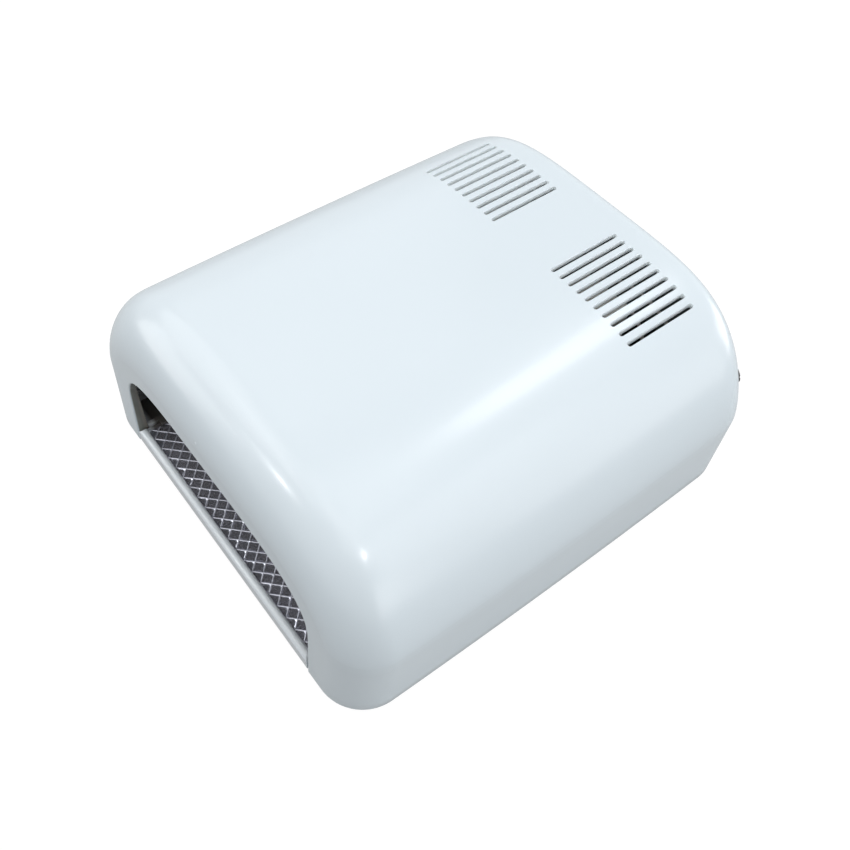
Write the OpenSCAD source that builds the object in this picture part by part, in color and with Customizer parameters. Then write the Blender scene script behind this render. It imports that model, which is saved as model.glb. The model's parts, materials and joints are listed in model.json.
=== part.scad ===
// Desk-top ultraviolet nail lamp with a moulded shell, four twin-tube lamps and a slide-out floor tray.
// The body frame has x across, y from the front face to the back, and z up from the shell's lower edge.

/* [Housing] */
// Width over the side walls
body_w = 215; // [208:1:225]
// Depth from the front face to the rear face
body_d = 229.4; // [226:0.2:236]
// Height of the roof at the middle of the depth
body_h = 93.3; // [91:0.1:100]
// How much higher the roof is at the back than at the middle
top_rise = 2.2; // [0:0.1:3]
// Height at which the side walls turn in to the shoulders
belt_h = 41; // [36:0.5:44]
// Squareness of the roof's section across the width
shoulder_power = 4.74; // [4:0.01:6]
// Squareness of the roof's section over the height
crown_power = 1.42; // [1.35:0.01:1.8]
// Inward draft of the skirt per millimetre of height
draft = 0.032; // [0:0.001:0.04]
// Plan radius of the two front corners
front_corner_r = 20.7; // [16:0.1:24]
// Radius where the front face rolls over on to the roof
front_top_r = 25.6; // [20:0.1:28]
// Plan radius of the two rear corners
rear_corner_r = 20.6; // [16:0.1:24]
// Radius where the rear face rolls over on to the roof
rear_top_r = 11.8; // [9:0.1:16]
// Fullness of the rear roundings, where 2 is a circle
rear_power = 2.26; // [2:0.01:2.5]
// Backward lean of the front face per millimetre of height
front_lean = 0.052; // [0.03:0.001:0.06]
// Forward lean of the rear face per millimetre of height
rear_lean = 0.03; // [0:0.001:0.035]
// How much the side walls draw in towards both ends
side_bow = 1.3; // [0:0.1:1.6]
// How much the rear face bows out at its middle
rear_bow = 1.4; // [0:0.1:1.6]
// Thickness of the moulded wall
wall = 2.4; // [2:0.1:2.8]

/* [Front opening] */
// Distance from the housing's widest outline to each side of the arched opening
arch_margin = 33.85; // [33:0.05:35.5]
// Height of the flat top of the opening
arch_h = 56.7; // [54:0.1:57.5]
// Height at which the sides of the opening start to turn in
arch_spring = 29.2; // [25:0.1:33]
// Squareness of the opening's corners across the width
arch_power_x = 4.23; // [3:0.01:5]
// Squareness of the opening's corners over the height
arch_power_z = 2.67; // [2:0.01:3.5]
// Depth of the return flange round the opening
rim_depth = 5.5; // [4.5:0.1:6]
// Thickness of the return flange
rim_wall = 2.2; // [1.6:0.1:2.6]

/* [Roof vents] */
// Slots in each of the two groups
vent_count = 10; // [6:1:10]
// Distance between neighbouring slots
vent_pitch = 5.34; // [4.8:0.01:5.4]
// Distance from the centre line to the first slot
vent_first_x = 20.2; // [18:0.1:21]
// Distance from the rear face to the front end of the slots
vent_setback = 61.4; // [58:0.2:69]
// Overall length of a slot
vent_len = 39.6; // [30:0.1:40]
// Width of a slot
vent_w = 2.1; // [1.6:0.1:2.4]

/* [Tray] */
// Gap between the tray and each side of the opening
tray_gap = 0.6; // [0.4:0.1:1]
// Distance from the front face to the tray's lip
tray_front_y = 0.3; // [0.2:0.1:0.6]
// Distance from the tray's back edge to the socket plate
tray_back_gap = 10.7; // [9.7:0.1:17.7]
// Height of the tray floor's underside
tray_floor_z = 2.6; // [2.4:0.1:3]
// Thickness of the tray floor
tray_floor_t = 1.8; // [1.4:0.1:2]
// Thickness of the front lip
lip_t = 4; // [3:0.1:4.5]
// Height of the front lip
lip_h = 8; // [7:0.1:9]
// Radius of the lip's upper corners
lip_corner_r = 3; // [2:0.1:3.5]
// Height of the upturned edges above the tray floor
tray_edge_h = 1.4; // [1.2:0.1:1.8]
// Thickness of the upturned edges
tray_edge_t = 1.5; // [1.2:0.1:1.8]
// Thickness of the embossed reflector sheet
tray_sheet_t = 0.5; // [0.4:0.05:0.8]

/* [Base] */
// Thickness of the base plate
base_t = 2.2; // [2:0.1:2.6]
// Gap between the base plate and the shell
base_gap = 0.4; // [0.3:0.1:0.8]
// Height of the base plate's underside
base_z = 0.4; // [0.2:0.1:0.6]
// Thickness of the tray rails' walls
rail_t = 2; // [1.6:0.1:2.2]
// Reach of the rails under and over the tray's edge
rail_reach = 6; // [4:0.5:8]
// Reach of the rails' upper guide over the tray
guide_reach = 2.4; // [1.6:0.1:3]
// Gap between the tray's edges and the rails
rail_gap = 0.4; // [0.3:0.1:0.6]
// Gap between the tray's underside and the ledges that carry it
tray_seat_gap = 0.1; // [0.05:0.05:0.3]
// Height of a rubber foot below the shell's lower edge
foot_h = 2.5; // [2:0.1:4]
// Radius of a rubber foot
foot_r = 7; // [6:0.1:8]

/* [Lamp chamber] */
// Distance from the housing's widest outline to the reflector's inner side face
side_space = 17; // [16.5:0.1:18.5]
// Height of the reflector's ceiling
chamber_z = 76; // [75:0.1:77]
// Height at which the reflector's sides turn in
chamber_bend_z = 49; // [48.5:0.5:52]
// Distance from the reflector's side face to the bend of its ceiling
chamber_bend_in = 21.5; // [18.5:0.5:24.5]
// Front edge of the reflector arch
chamber_front_y = 15; // [14:0.5:18]
// Thickness of the bright sheet
sheet_t = 0.5; // [0.4:0.05:0.6]
// Depth of the rear bay from the front of the socket plate to the housing's rear face
bay_depth = 51.4; // [50.4:0.2:53.4]
// Thickness of the socket plate
plate_t = 1; // [0.8:0.1:1.2]

/* [Lamps] */
// Distance from the centre line to the ceiling lamps
ceiling_lamp_x = 30; // [26:0.5:34]
// Height of the side lamps
side_lamp_z = 32.5; // [31:0.5:33]
// Distance from the reflector to a lamp's axis
lamp_standoff = 10.5; // [10.2:0.1:11]
// Radius of a glass tube
tube_r = 6; // [5.5:0.1:6.2]
// Distance between the two tubes of a lamp
tube_pitch = 15.8; // [15:0.1:16.4]
// Length of a lamp from its seat to its tip
lamp_len = 145; // [138:0.5:145]
// Width of the lamp's moulded base
lamp_base_w = 32; // [30:0.5:33]
// Thickness of the lamp's moulded base
lamp_base_t = 19; // [17:0.5:19]
// Depth of the lamp's moulded base in front of its seat
lamp_base_d = 16; // [14:0.5:20]
// Width of the starter post that plugs into the holder
post_w = 17; // [15:0.5:17]
// Thickness of the starter post
post_t = 13; // [11:0.5:13]
// Length of the starter post
post_len = 20; // [16:0.5:20]
// Radius of a contact pin
pin_r = 1.175; // [1:0.005:1.25]
// Length of a contact pin behind the seat
pin_len = 7; // [5:0.5:8]
// Distance between the two contact pins
pin_pitch = 23; // [22.5:0.1:23.4]
// Gap between a lamp and the socket that takes it
socket_gap = 0.3; // [0.2:0.05:0.4]
// Width of the lampholder's front flange
holder_w = 34; // [33:0.5:36]
// Thickness of the lampholder's front flange over the pair of tubes
holder_t = 20; // [19:0.5:20]
// Distance from the reflector's front edge to the spring clips
clip_setback = 36; // [28:1:66]
// Thickness of a clip's spring strip
clip_t = 0.8; // [0.6:0.1:1]
// Width of a clip's spring strip
clip_w = 8; // [6:0.5:10]

/* [Rear controls] */
// Height of all the rear controls
control_z = 37; // [35:0.5:38]
// Distance from the housing's widest outline to the fuse holder
fuse_inset = 25; // [24.5:0.5:29.5]
// Distance from the fuse holder to the rocker switch
rocker_inset = 42.5; // [36:0.5:48]
// Distance from the rocker switch to the start button
start_inset = 32; // [28:1:38]
// Distance from the housing's widest outline to the cord gland
gland_inset = 31.5; // [27.5:1:47.5]
// Depth of the control recess below the rear face
recess_depth = 3.8; // [3.4:0.1:4]
// Gap between a control's body and its panel hole
panel_gap = 0.15; // [0.1:0.05:0.3]
// Width of the rocker's body
rocker_w = 13.2; // [12:0.1:15]
// Height of the rocker's body
rocker_l = 19.2; // [18:0.1:19.5]
// Depth of the rocker's body behind the panel face
rocker_d = 16; // [14:0.5:17]
// Radius of the start button's body
start_r = 6; // [5.8:0.1:7]
// Radius of the start button's cap
start_cap_r = 4.25; // [4:0.05:4.4]
// Travel of the start button
start_travel = 3; // [2:0.1:3.2]
// Radius of the fuse holder's body
fuse_r = 6.2; // [6:0.1:6.5]
// Radius of the fuse holder's cap
fuse_cap_r = 7.6; // [7:0.1:8]
// How far the fuse cap stands off its flange
fuse_cap_len = 12.6; // [10:0.1:14]
// Radius of the cord gland's bore
gland_bore_r = 3.4; // [3:0.1:3.8]
// Radius of the cord gland's body
gland_r = 7; // [6.5:0.1:7.5]
// How far the cord gland reaches into the shell
gland_in = 10; // [8:0.5:12]

/* [Power parts] */
// Gap between each choke and the side lampholder next to it
choke_gap = 5.9; // [4.9:0.5:7.9]
// Length of a choke's laminated core
core_w = 38; // [34:0.5:38]
// Depth of a choke's laminated core
core_d = 32; // [30:0.5:32]
// Height of a choke's lamination stack
core_stack = 12; // [10:0.5:13]
// Width of the core's centre leg
core_leg = 10; // [8:0.5:11]
// Thickness of the core's outer legs and yokes
core_yoke = 5; // [4:0.5:5.5]
// Height of the choke windings over and under the core
coil_bulge = 5; // [4:0.5:5.5]
// Width of the timer board
board_w = 64; // [62:1:68]
// Height of the timer board
board_h = 28; // [27:1:29]
// Height of the timer board's lower edge
board_z = 27.5; // [27:0.5:28]
// Thickness of the timer board
board_t = 1.6; // [1.2:0.1:1.6]
// Length of the spacers that hold the timer board
spacer_len = 5; // [4:0.5:6]

/* [Wiring] */
// Radius of an insulated wire
wire_r = 0.9; // [0.6:0.05:1]
// Distance between the wires soldered to the timer board
pad_pitch = 4; // [3.5:0.1:4.2]
// How far a push-on connector reaches beyond its tab
sleeve_reach = 0.4; // [0.2:0.1:0.6]
// Wall of a push-on connector
sleeve_wall = 0.8; // [0.5:0.1:0.8]
// Length over which a wire makes a bend
wire_bend = 4; // [3.8:0.1:4.2]

/* [Hidden] */
$fn = 48;
eps = 0.01;

// The rear controls stand on the floor of a shallow recess, so its floor is the datum that they share
panel_y = body_d - recess_depth;
fuse_flange_t = 2.4;
back_y = panel_y + fuse_flange_t + fuse_cap_len;
middle_y = back_y / 2;

opening_x = body_w / 2 - arch_margin;
tray_x = opening_x - tray_gap;
rail_x = tray_x + rail_gap;
plate_y = body_d - bay_depth;
tray_back_y = plate_y - tray_back_gap;
tray_len = tray_back_y - tray_front_y;
vent_front_y = body_d - vent_setback;
chamber_x = body_w / 2 - side_space;
chamber_bend_x = chamber_x - chamber_bend_in;
tray_top_z = tray_floor_z + tray_floor_t;
base_top_z = base_z + base_t;
guide_z = tray_top_z + tray_edge_h + rail_gap;
base_front_y = wall + base_gap + 0.2;
base_back_y = body_d - wall - rear_bow - base_gap;
base_x = body_w / 2 - side_bow - draft * belt_h - wall - base_gap;
bay_back_y = tray_back_y + 2;
jamb_x = opening_x + rim_wall + base_gap;
rail_front_y = rim_depth + 0.5;
guide_front_y = rim_depth + 6;
guide_t = 1.5;
tray_rib_t = 1.6;
tray_rib_pitch = 30;
base_rim_t = 1.5;
base_rim_h = 3;

sleeve_r = 3.6;
boss_x = base_x - sleeve_r - 0.5;
boss_setback = 34;
boss_ys = [boss_setback, body_d / 2, body_d - boss_setback];
boss_web_t = 1.6;
pilot_r = 1.3;
pilot_depth = 15;
housing_screw_len = 14;
chassis_screw_len = 2.6;
plate_screw_len = 3;
choke_screw_len = 2.8;
screw_r = 1.5;
screw_gap = 0.2;
screw_head_r = 3;
screw_head_h = 1.2;

foot_x = (rail_x + rail_t + boss_x - sleeve_r) / 2;
foot_setback = 18;
foot_ys = [foot_setback, body_d - foot_setback];
foot_peg_r = 2.2;
foot_peg_gap = 0.1;
foot_head_r = foot_peg_r + 0.7;
foot_pad_margin = 1.6;

side_lamp_x = chamber_x - lamp_standoff;
ceiling_lamp_z = chamber_z - lamp_standoff;
lamp_at = [
    [-ceiling_lamp_x, ceiling_lamp_z, 0],
    [ceiling_lamp_x, ceiling_lamp_z, 0],
    [-side_lamp_x, side_lamp_z, -90],
    [side_lamp_x, side_lamp_z, 90]
];
flange_t = 1.5;
seat_y = plate_y - flange_t;
tip_y = seat_y - lamp_len;
holder_back_t = 2.2;
holder_wall = 1.5;
holder_back_y = seat_y + post_len + socket_gap + holder_back_t;
holder_body_w = pin_pitch + 2 * pin_r + 2 * socket_gap + 2 * holder_wall;
holder_body_t = post_t + 2 * socket_gap + 2 * holder_wall;
clip_y = chamber_front_y + clip_setback;
pin_root = 6;
pin_fit = 0.02;
tube_bridge_r = 3;
tube_bridge_y = tip_y + 11;
clip_hole_r = 1.3;
rivet_r = 1.2;
rivet_head_r = 2.4;
rivet_head_h = 0.9;
rivet_tail = 1.6;

panel_margin = 15.5;
control_half_h = 17;
control_half_w = body_w / 2 - panel_margin;
control_corner_r = 5;
fuse_x = body_w / 2 - fuse_inset;
rocker_x = fuse_x - rocker_inset;
start_x = rocker_x - start_inset;
gland_x = body_w / 2 - gland_inset;
panel_t = wall;
panel_in_y = panel_y - panel_t;

choke_y = (plate_y + plate_t + base_back_y) / 2 + 1;
coil_gap = 0.2;
core_window = (core_d - core_leg - 2 * core_yoke) / 2;
core_z = base_top_z + coil_bulge + 1;
coil_top_z = core_z + core_stack + coil_bulge;
bracket_t = 0.8;
bracket_foot = 8;
bracket_half_d = 12;
bracket_foot_half_d = 8;
choke_x = side_lamp_x - holder_body_t / 2 - choke_gap - bracket_t - core_w / 2;

board_y = plate_y + plate_t + spacer_len;
board_inset = 2.8;
board_hole_r = 1.4;
board_corners = [for (s = [-1, 1], z = [board_inset, board_h - board_inset])
    [s * (board_w / 2 - board_inset), board_z + z]];
parts_y = board_y + board_t;

// What stands on the timer board: places are from the middle of its lower edge
relay_at = [-20.5, 14];
relay_w = 19;
relay_d = 15.5;
relay_h = 15;
tall_can_at = [-4, 19.5];
tall_can_r = 5;
tall_can_len = 16;
small_can_at = [-4, 8];
small_can_r = 4;
small_can_len = 12;
film_at = [9, 13];
film_w = 8;
film_d = 9;
film_h = 4.5;
chip_at = [8.5, 21];
chip_w = 9.4;
chip_h = 6.4;
chip_d = 3.3;
chip_standoff = 1;
chip_leg_pitch = 2.54;
chip_leg_w = 0.6;
chip_row = 3.4;
coil_form_at = [20.5, 17];
coil_form_w = 12;
coil_form_d = 8;
coil_form_foot = 2;
terminal_at = [14.5, 5.5];
terminal_count = 4;
terminal_pitch = 5;
terminal_w = terminal_count * terminal_pitch + 2;
terminal_d = 10;
terminal_h = 8;
terminal_entry_r = 1.2;
terminal_entry_y = 4;
terminal_entry_len = 5;
terminal_screw_r = 1.9;
terminal_screw_depth = 2.5;

chamber_foot_x = rail_x + rail_t + 2;
chassis_screw_x = (chamber_foot_x + chamber_x) / 2;
chassis_screw_ys = [chamber_front_y + 20, plate_y - 24];
plate_foot = 9;
plate_foot_x = chamber_x - 20.5;
plate_margin = 1.5;
wire_hole_r = 3;
wire_hole_x = 16;
wire_hole_zs = [12, 20];
plate_screw_x = plate_foot_x - 10;
plate_screw_y = plate_y + plate_t + 5;
choke_screw_at = [for (s = [-1, 1], e = [-1, 1])
    [s * choke_x + e * (core_w / 2 + bracket_t + bracket_foot / 2), choke_y]];

rocker_wall = 1.2;
rocker_bezel_t = 1.8;
rocker_pivot_y = panel_y - 0.2;
rocker_cavity_l = rocker_l - 2 * rocker_wall + 1;
rocker_tab_zs = [-5, 0, 5];
rocker_tab_len = 4;
rocker_tab_y = panel_y - rocker_d - rocker_tab_len;
tab_w = 4.8;
tab_t = 0.8;
trunnion_r = 1;
trunnion_gap = 0.05;

button_gap = 0.15;
start_bezel_t = 2.5;
start_flange_r = start_cap_r + 0.6;
start_step_y = panel_y - 3.6;
start_flange_t = 2.8;
start_floor_y = start_step_y - start_flange_t - start_travel - 4;
start_back_t = 4;
start_tab_x = 2.5;
start_tab_w = 2.8;
start_tab_len = 3.5;
start_tab_y = start_floor_y - start_back_t - start_tab_len;

fuse_depth = 18;
fuse_bore_r = 3.4;
fuse_tab_w = 4;
fuse_tab_len = 3;
fuse_tab_y = panel_y - fuse_depth - fuse_tab_len;
gland_out = 6;
gland_flange_t = 2.5;
nut_t = 3;
nut_gap = 0.05;

sleeve_gap = 0.1;
pad_z = board_z + 3;
pad_xs = [for (i = [0:3]) -11 - i * pad_pitch];
terminal_z = board_z + terminal_at.y;
terminal_xs = [for (i = [0:terminal_count - 1])
    terminal_at.x + (i - (terminal_count - 1) / 2) * terminal_pitch];

// The recess of a rounded wall at distance d from its edge, for a rounding of radius r and fullness p
function rounding(d, r, p) =
    d >= r ? 0 : r * (1 - pow(1 - pow(1 - max(d, 0) / r, p), 1 / p));

// Half of the width at depth y, for the surface that lies t inside the outer one
function side_x(y, t) =
    body_w / 2 - t - side_bow * pow(2 * y / body_d - 1, 2)
    - rounding(y - t, front_corner_r - t, 2)
    - rounding(body_d - t - y, rear_corner_r - t, rear_power);

// Height of the roof at depth y, for the surface that lies t inside the outer one
function crown_z(y, t) =
    body_h - t + top_rise * (2 * y / body_d - 1)
    - rounding(y - t, front_top_r - t, 2)
    - rounding(body_d - t - y, rear_top_r - t, rear_power);

// The front and rear faces lean in towards the roof, and the rear one bows out
function lean(p) =
    let (s = p.y / body_d, u = pow(2 * p.x / body_w, 2))
    [p.x, p.y + p.z * (front_lean * (1 - s) - rear_lean * s) - u * rear_bow * s, p.z];

// One section of the shell, from the right foot over the roof to the left foot and the middle below
function section(y, t, z0, n) =
    let (w = side_x(y, t), h = crown_z(y, t) - belt_h, foot = w - draft * (belt_h - z0))
    [for (p = concat(
        [[foot, z0]],
        [for (i = [0:2 * n])
            let (c = cos(90 * i / n), s = sin(90 * i / n))
            [sign(c) * w * pow(abs(c), 2 / shoulder_power), belt_h + h * pow(s, 2 / crown_power)]],
        [[-foot, z0], [0, z0]]))
    lean([p.x, y, p.y])];

// Depths of the sections: close together in the roundings and few in the long middle
function stations(t, front_n, rear_n) = concat(
    [for (i = [0:front_n]) t + (front_top_r - t) * (1 - cos(90 * i / front_n))],
    [for (s = [0.3, 0.5, 0.7]) s * body_d],
    [for (i = [rear_n:-1:0]) body_d - t - (rear_corner_r - t) * (1 - cos(90 * i / rear_n))]);

function arch_outline(grow) = concat(
    [[opening_x + grow, -3]],
    [for (a = [0:7.5:180])
        [sign(cos(a)) * (opening_x + grow) * pow(abs(cos(a)), 2 / arch_power_x),
         arch_spring + (arch_h + grow - arch_spring) * pow(sin(a), 2 / arch_power_z)]],
    [[-opening_x - grow, -3]]);

function unit(v) = v / norm(v);
function left_of(v) = [-v.y, v.x];

// The path p moved t to its left, with mitred corners
function beside(p, t) =
    [for (i = [0:len(p) - 1])
        let (a = left_of(unit(p[max(i, 1)] - p[max(i, 1) - 1])),
             b = left_of(unit(p[min(i + 1, len(p) - 1)] - p[min(i + 1, len(p) - 1) - 1])))
        p[i] + t * (a + b) / (1 + a * b)];

function backwards(p) = [for (i = [len(p) - 1:-1:0]) p[i]];

chamber_path = [
    [chamber_foot_x, base_top_z + sheet_t],
    [chamber_x, base_top_z + sheet_t],
    [chamber_x, chamber_bend_z],
    [chamber_bend_x, chamber_z],
    [-chamber_bend_x, chamber_z],
    [-chamber_x, chamber_bend_z],
    [-chamber_x, base_top_z + sheet_t],
    [-chamber_foot_x, base_top_z + sheet_t]
];

// Moves the body frame to the part's own frame, which stands on the feet under the middle of the box
module place() {
    translate([0, -middle_y, foot_h]) children();
}

// A strip of sheet that follows a path drawn across the width
module strip_profile(path, t) {
    polygon(concat(path, backwards(beside(path, t))));
}

// A profile drawn in x and z, drawn out along y
module extrude_y(y0, y1) {
    translate([0, y1, 0]) rotate([90, 0, 0]) linear_extrude(y1 - y0) children();
}

// A profile drawn in y and z, drawn out along x
module extrude_x(x0, x1) {
    translate([x0, 0, 0]) rotate([90, 0, 90]) linear_extrude(x1 - x0) children();
}

// A round bar along y
module rod_y(x, z, r, y0, y1) {
    translate([x, y0, z]) rotate([-90, 0, 0]) cylinder(r = r, h = y1 - y0);
}

// A hexagonal bar along y, r across its corners
module rod_y_hex(r, y0, y1) {
    translate([0, y0, 0]) rotate([-90, 0, 0]) cylinder(r = r, h = y1 - y0, $fn = 6);
}

// A box from its lowest to its highest corner
module block(low, high) {
    translate(low) cube(high - low);
}

module round_rect(w, h, r) {
    square([w, h - 2 * r], center = true);
    square([w - 2 * r, h], center = true);
    for (x = [-1, 1], y = [-1, 1]) translate([x * (w / 2 - r), y * (h / 2 - r)]) circle(r);
}

module mirrored_x() {
    children();
    mirror([1, 0, 0]) children();
}

// A closed solid through the sections of the shell at the given depths
module loft(ys, t, z0, n) {
    m = 2 * n + 4;
    last = len(ys) - 1;
    rings = [for (y = ys) section(y, t, z0, n)];
    cores = [for (e = [0, last], j = [1:n]) lean([0, ys[e], rings[e][j].z])];
    function centre_of(e, j) = j == 0 ? e * m + m - 1 : (last + 1) * m + (e == 0 ? 0 : n) + j - 1;
    walls = [for (k = [0:last - 1], j = [0:m - 1])
        let (a = k * m + j, b = k * m + (j + 1) % m)
        each [[a, b, b + m], [a, b + m, a + m]]];
    caps = [for (e = [0, last], j = [0:n])
        let (c = centre_of(e, j), r = e * m + j, l = e * m + m - 2 - j,
             top = e * m + n + 1,
             fan = j == n
                ? [[r, c, top], [c, l, top]]
                : let (d = centre_of(e, j + 1)) [[r, c, d], [r, d, r + 1], [c, l, l - 1], [c, l - 1, d]])
        each e == 0 ? fan : [for (f = fan) [f[0], f[2], f[1]]]];
    polyhedron(points = concat([for (ring = rings) each ring], cores), faces = concat(walls, caps));
}

// A tube of radius r that follows the points p, one ring of sides at each point
module swept_tube(p, r, sides) {
    last = len(p) - 1;
    rings = [for (i = [0:last])
        let (along = unit(p[min(i + 1, last)] - p[max(i - 1, 0)]),
             guess = abs(along.z) > 0.9 ? [1, 0, 0] : [0, 0, 1],
             u = unit(cross(along, guess)),
             v = cross(along, u))
        for (k = [0:sides - 1])
            p[i] + r * (cos(360 * k / sides) * u + sin(360 * k / sides) * v)];
    skin = [for (i = [0:last - 1], k = [0:sides - 1])
        let (a = i * sides + k, b = i * sides + (k + 1) % sides)
        each [[a, b, b + sides], [a, b + sides, a + sides]]];
    ends = [for (k = [1:sides - 2])
        each [[0, k + 1, k], [last * sides, last * sides + k, last * sides + k + 1]]];
    polyhedron(points = rings, faces = concat(skin, ends));
}

// A compression spring along y from y0 to y1, with wire of radius thick_r
module coil_along_y(y0, y1, r, thick_r, turns) {
    steps = 12;
    y_first = y0 + thick_r;
    y_last = y1 - thick_r;
    swept_tube([for (i = [0:turns * steps])
        let (a = 360 * i / steps)
        [r * cos(a), y_first + (y_last - y_first) * i / (turns * steps), r * sin(a)]], thick_r, 6);
}

// A smooth line that starts at the first point, ends at the last and is drawn towards those between
function smooth_route(p, steps) =
    let (n = len(p), q = concat([p[0], p[0]], p, [p[n - 1], p[n - 1]]))
    concat([for (i = [0:n], k = [0:steps - 1])
        let (t = k / steps)
        (pow(1 - t, 3) * q[i] + (3 * pow(t, 3) - 6 * t * t + 4) * q[i + 1]
         + (-3 * pow(t, 3) + 3 * t * t + 3 * t + 1) * q[i + 2] + pow(t, 3) * q[i + 3]) / 6],
        [p[n - 1]]);

// An insulated wire that follows a route
module wire(p) {
    swept_tube(smooth_route(p, 2), wire_r, 8);
}

// Places what is drawn round the y axis on the axis of lamp i, with its ceiling side to the reflector
module at_lamp(i) {
    translate([lamp_at[i].x, 0, lamp_at[i].y]) rotate([0, lamp_at[i].z, 0]) children();
}

module at_control(x) {
    translate([x, 0, control_z]) children();
}

// Upper housing: moulded shell with its opening, vents, screw bosses and control recess

module boss_columns() {
    mirrored_x() for (y = boss_ys) {
        translate([boss_x, y, base_top_z]) cylinder(r = sleeve_r, h = body_h);
        block([boss_x, y - boss_web_t / 2, base_top_z], [body_w / 2, y + boss_web_t / 2, body_h]);
    }
}

// Short ribs under the roof that hold the reflector arch down
module roof_ribs() {
    rib_t = 1.8;
    rib_len = 22;
    rib_gap = 0.3;
    for (x = [-1, 1] * (ceiling_lamp_x + 24), y = [chamber_front_y + 35, plate_y - 28 - rib_len])
        block([x - rib_t / 2, y, chamber_z + sheet_t + rib_gap], [x + rib_t / 2, y + rib_len, body_h + 10]);
}

module control_outline(grow) {
    translate([0, control_z])
        round_rect(2 * (control_half_w + grow), 2 * (control_half_h + grow), control_corner_r + grow);
}

module vent_slots() {
    r = vent_w / 2;
    mirrored_x() for (i = [0:vent_count - 1]) {
        x = vent_first_x + i * vent_pitch;
        block([x - r, vent_front_y + r, belt_h], [x + r, vent_front_y + vent_len - r, belt_h + body_h]);
        for (y = [r, vent_len - r]) translate([x, vent_front_y + y, belt_h]) cylinder(r = r, h = body_h);
    }
}

module panel_holes() {
    at_control(fuse_x) rod_y(0, 0, fuse_r + panel_gap, panel_in_y - 5, panel_y + 5);
    at_control(start_x) rod_y(0, 0, start_r + panel_gap, panel_in_y - 5, panel_y + 5);
    at_control(-gland_x) rod_y(0, 0, gland_r + panel_gap, panel_in_y - 5, panel_y + 5);
    at_control(rocker_x) extrude_y(panel_in_y - 5, panel_y + 5)
        square([rocker_w + 2 * panel_gap, rocker_l + 2 * panel_gap], center = true);
}

module upper_housing() place() color("white") difference() {
    loft(stations(0, 7, 6), 0, 0, 12);
    difference() {
        loft(stations(wall, 5, 4), wall, -1, 9);
        extrude_y(-1, rim_depth) polygon(arch_outline(rim_wall));
        extrude_y(panel_in_y, body_d + 5) control_outline(wall);
        boss_columns();
        roof_ribs();
    }
    extrude_y(-5, rim_depth + 3) polygon(arch_outline(0));
    extrude_y(panel_y, body_d + 5) control_outline(0);
    vent_slots();
    panel_holes();
    mirrored_x() for (y = boss_ys) translate([boss_x, y, base_top_z - 1])
        cylinder(r = pilot_r, h = pilot_depth);
}

// Base frame: bottom plate round the tray bay, with C-shaped rails, rim, vents and fixing holes

module base_outline(inset) {
    translate([0, (base_front_y + base_back_y) / 2])
        round_rect(2 * (base_x - inset), base_back_y - base_front_y - 2 * inset,
                   front_corner_r - wall - base_gap - inset);
}

module rails() {
    ledge_z = tray_floor_z - tray_seat_gap;
    mirrored_x() {
        block([rail_x, rail_front_y, base_z], [rail_x + rail_t, bay_back_y, guide_z + guide_t]);
        block([rail_x - rail_reach, rail_front_y, base_z], [rail_x + eps, bay_back_y, ledge_z]);
        block([tray_x - guide_reach, guide_front_y, guide_z], [rail_x + eps, bay_back_y, guide_z + guide_t]);
    }
}

module floor_vents() {
    pitch = 5.6;
    r = 1.3;
    len = 5;
    for (i = [-7:7]) translate([i * pitch, bay_back_y + 9, base_z - 1]) {
        translate([-r, 0, 0]) cube([2 * r, len, base_t + 2]);
        for (y = [0, len]) translate([0, y, 0]) cylinder(r = r, h = base_t + 2);
    }
}

module base_frame() place() color("white") {
    difference() {
        union() {
            translate([0, 0, base_z]) linear_extrude(base_t) base_outline(0);
            mirrored_x() for (y = foot_ys) translate([foot_x, y, base_z])
                cylinder(r = foot_r + foot_pad_margin, h = base_t);
        }
        block([-rail_x - rail_t / 2, -1, base_z - 1], [rail_x + rail_t / 2, bay_back_y, base_top_z + 1]);
        mirrored_x() for (y = boss_ys) translate([boss_x, y, base_z - 1]) {
            cylinder(r = screw_r + screw_gap, h = base_t + 2);
            cylinder(r = screw_head_r + screw_gap, h = screw_head_h + 1);
        }
        mirrored_x() for (y = foot_ys) translate([foot_x, y, base_z - 1])
            cylinder(r = foot_peg_r, h = base_t + 2);
        mirrored_x() for (y = chassis_screw_ys) translate([chassis_screw_x, y, base_z - 1])
            cylinder(r = pilot_r, h = base_t + 2);
        for (x = [-1, 1] * plate_screw_x) translate([x, plate_screw_y, base_z - 1])
            cylinder(r = pilot_r, h = base_t + 2);
        for (p = choke_screw_at) translate([p.x, p.y, base_z - 1])
            cylinder(r = pilot_r, h = base_t + 2);
        block([-jamb_x, -1, base_z - 1], [jamb_x, rim_depth + base_gap, base_top_z + 1]);
        floor_vents();
    }
    rails();
    difference() {
        translate([0, 0, base_top_z - eps]) linear_extrude(base_rim_h) difference() {
            base_outline(0);
            base_outline(base_rim_t);
        }
        block([-rail_x - rail_t / 2, -1, base_z], [rail_x + rail_t / 2, bay_back_y, base_top_z + 9]);
        mirrored_x() for (y = boss_ys)
            block([boss_x - 6, y - 5, base_z], [body_w / 2, y + 5, base_top_z + 9]);
        block([-jamb_x - 3, -1, base_z], [jamb_x + 3, chamber_front_y, base_top_z + 9]);
    }
}

module rubber_feet() place() color("dimgray") mirrored_x() for (y = foot_ys) translate([foot_x, y, 0]) {
    translate([0, 0, -foot_h]) cylinder(r = foot_r, h = foot_h + base_z);
    cylinder(r = foot_peg_r - foot_peg_gap, h = base_top_z + 0.4);
    translate([0, 0, base_top_z + foot_peg_gap]) cylinder(r = foot_head_r, h = 1);
}

// A self-tapping screw that is driven up from its head's seat
module screw_up(head_z, len) {
    translate([0, 0, head_z - screw_head_h]) cylinder(r = screw_head_r, h = screw_head_h);
    translate([0, 0, head_z - eps]) cylinder(r = pilot_r, h = len);
}

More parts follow.
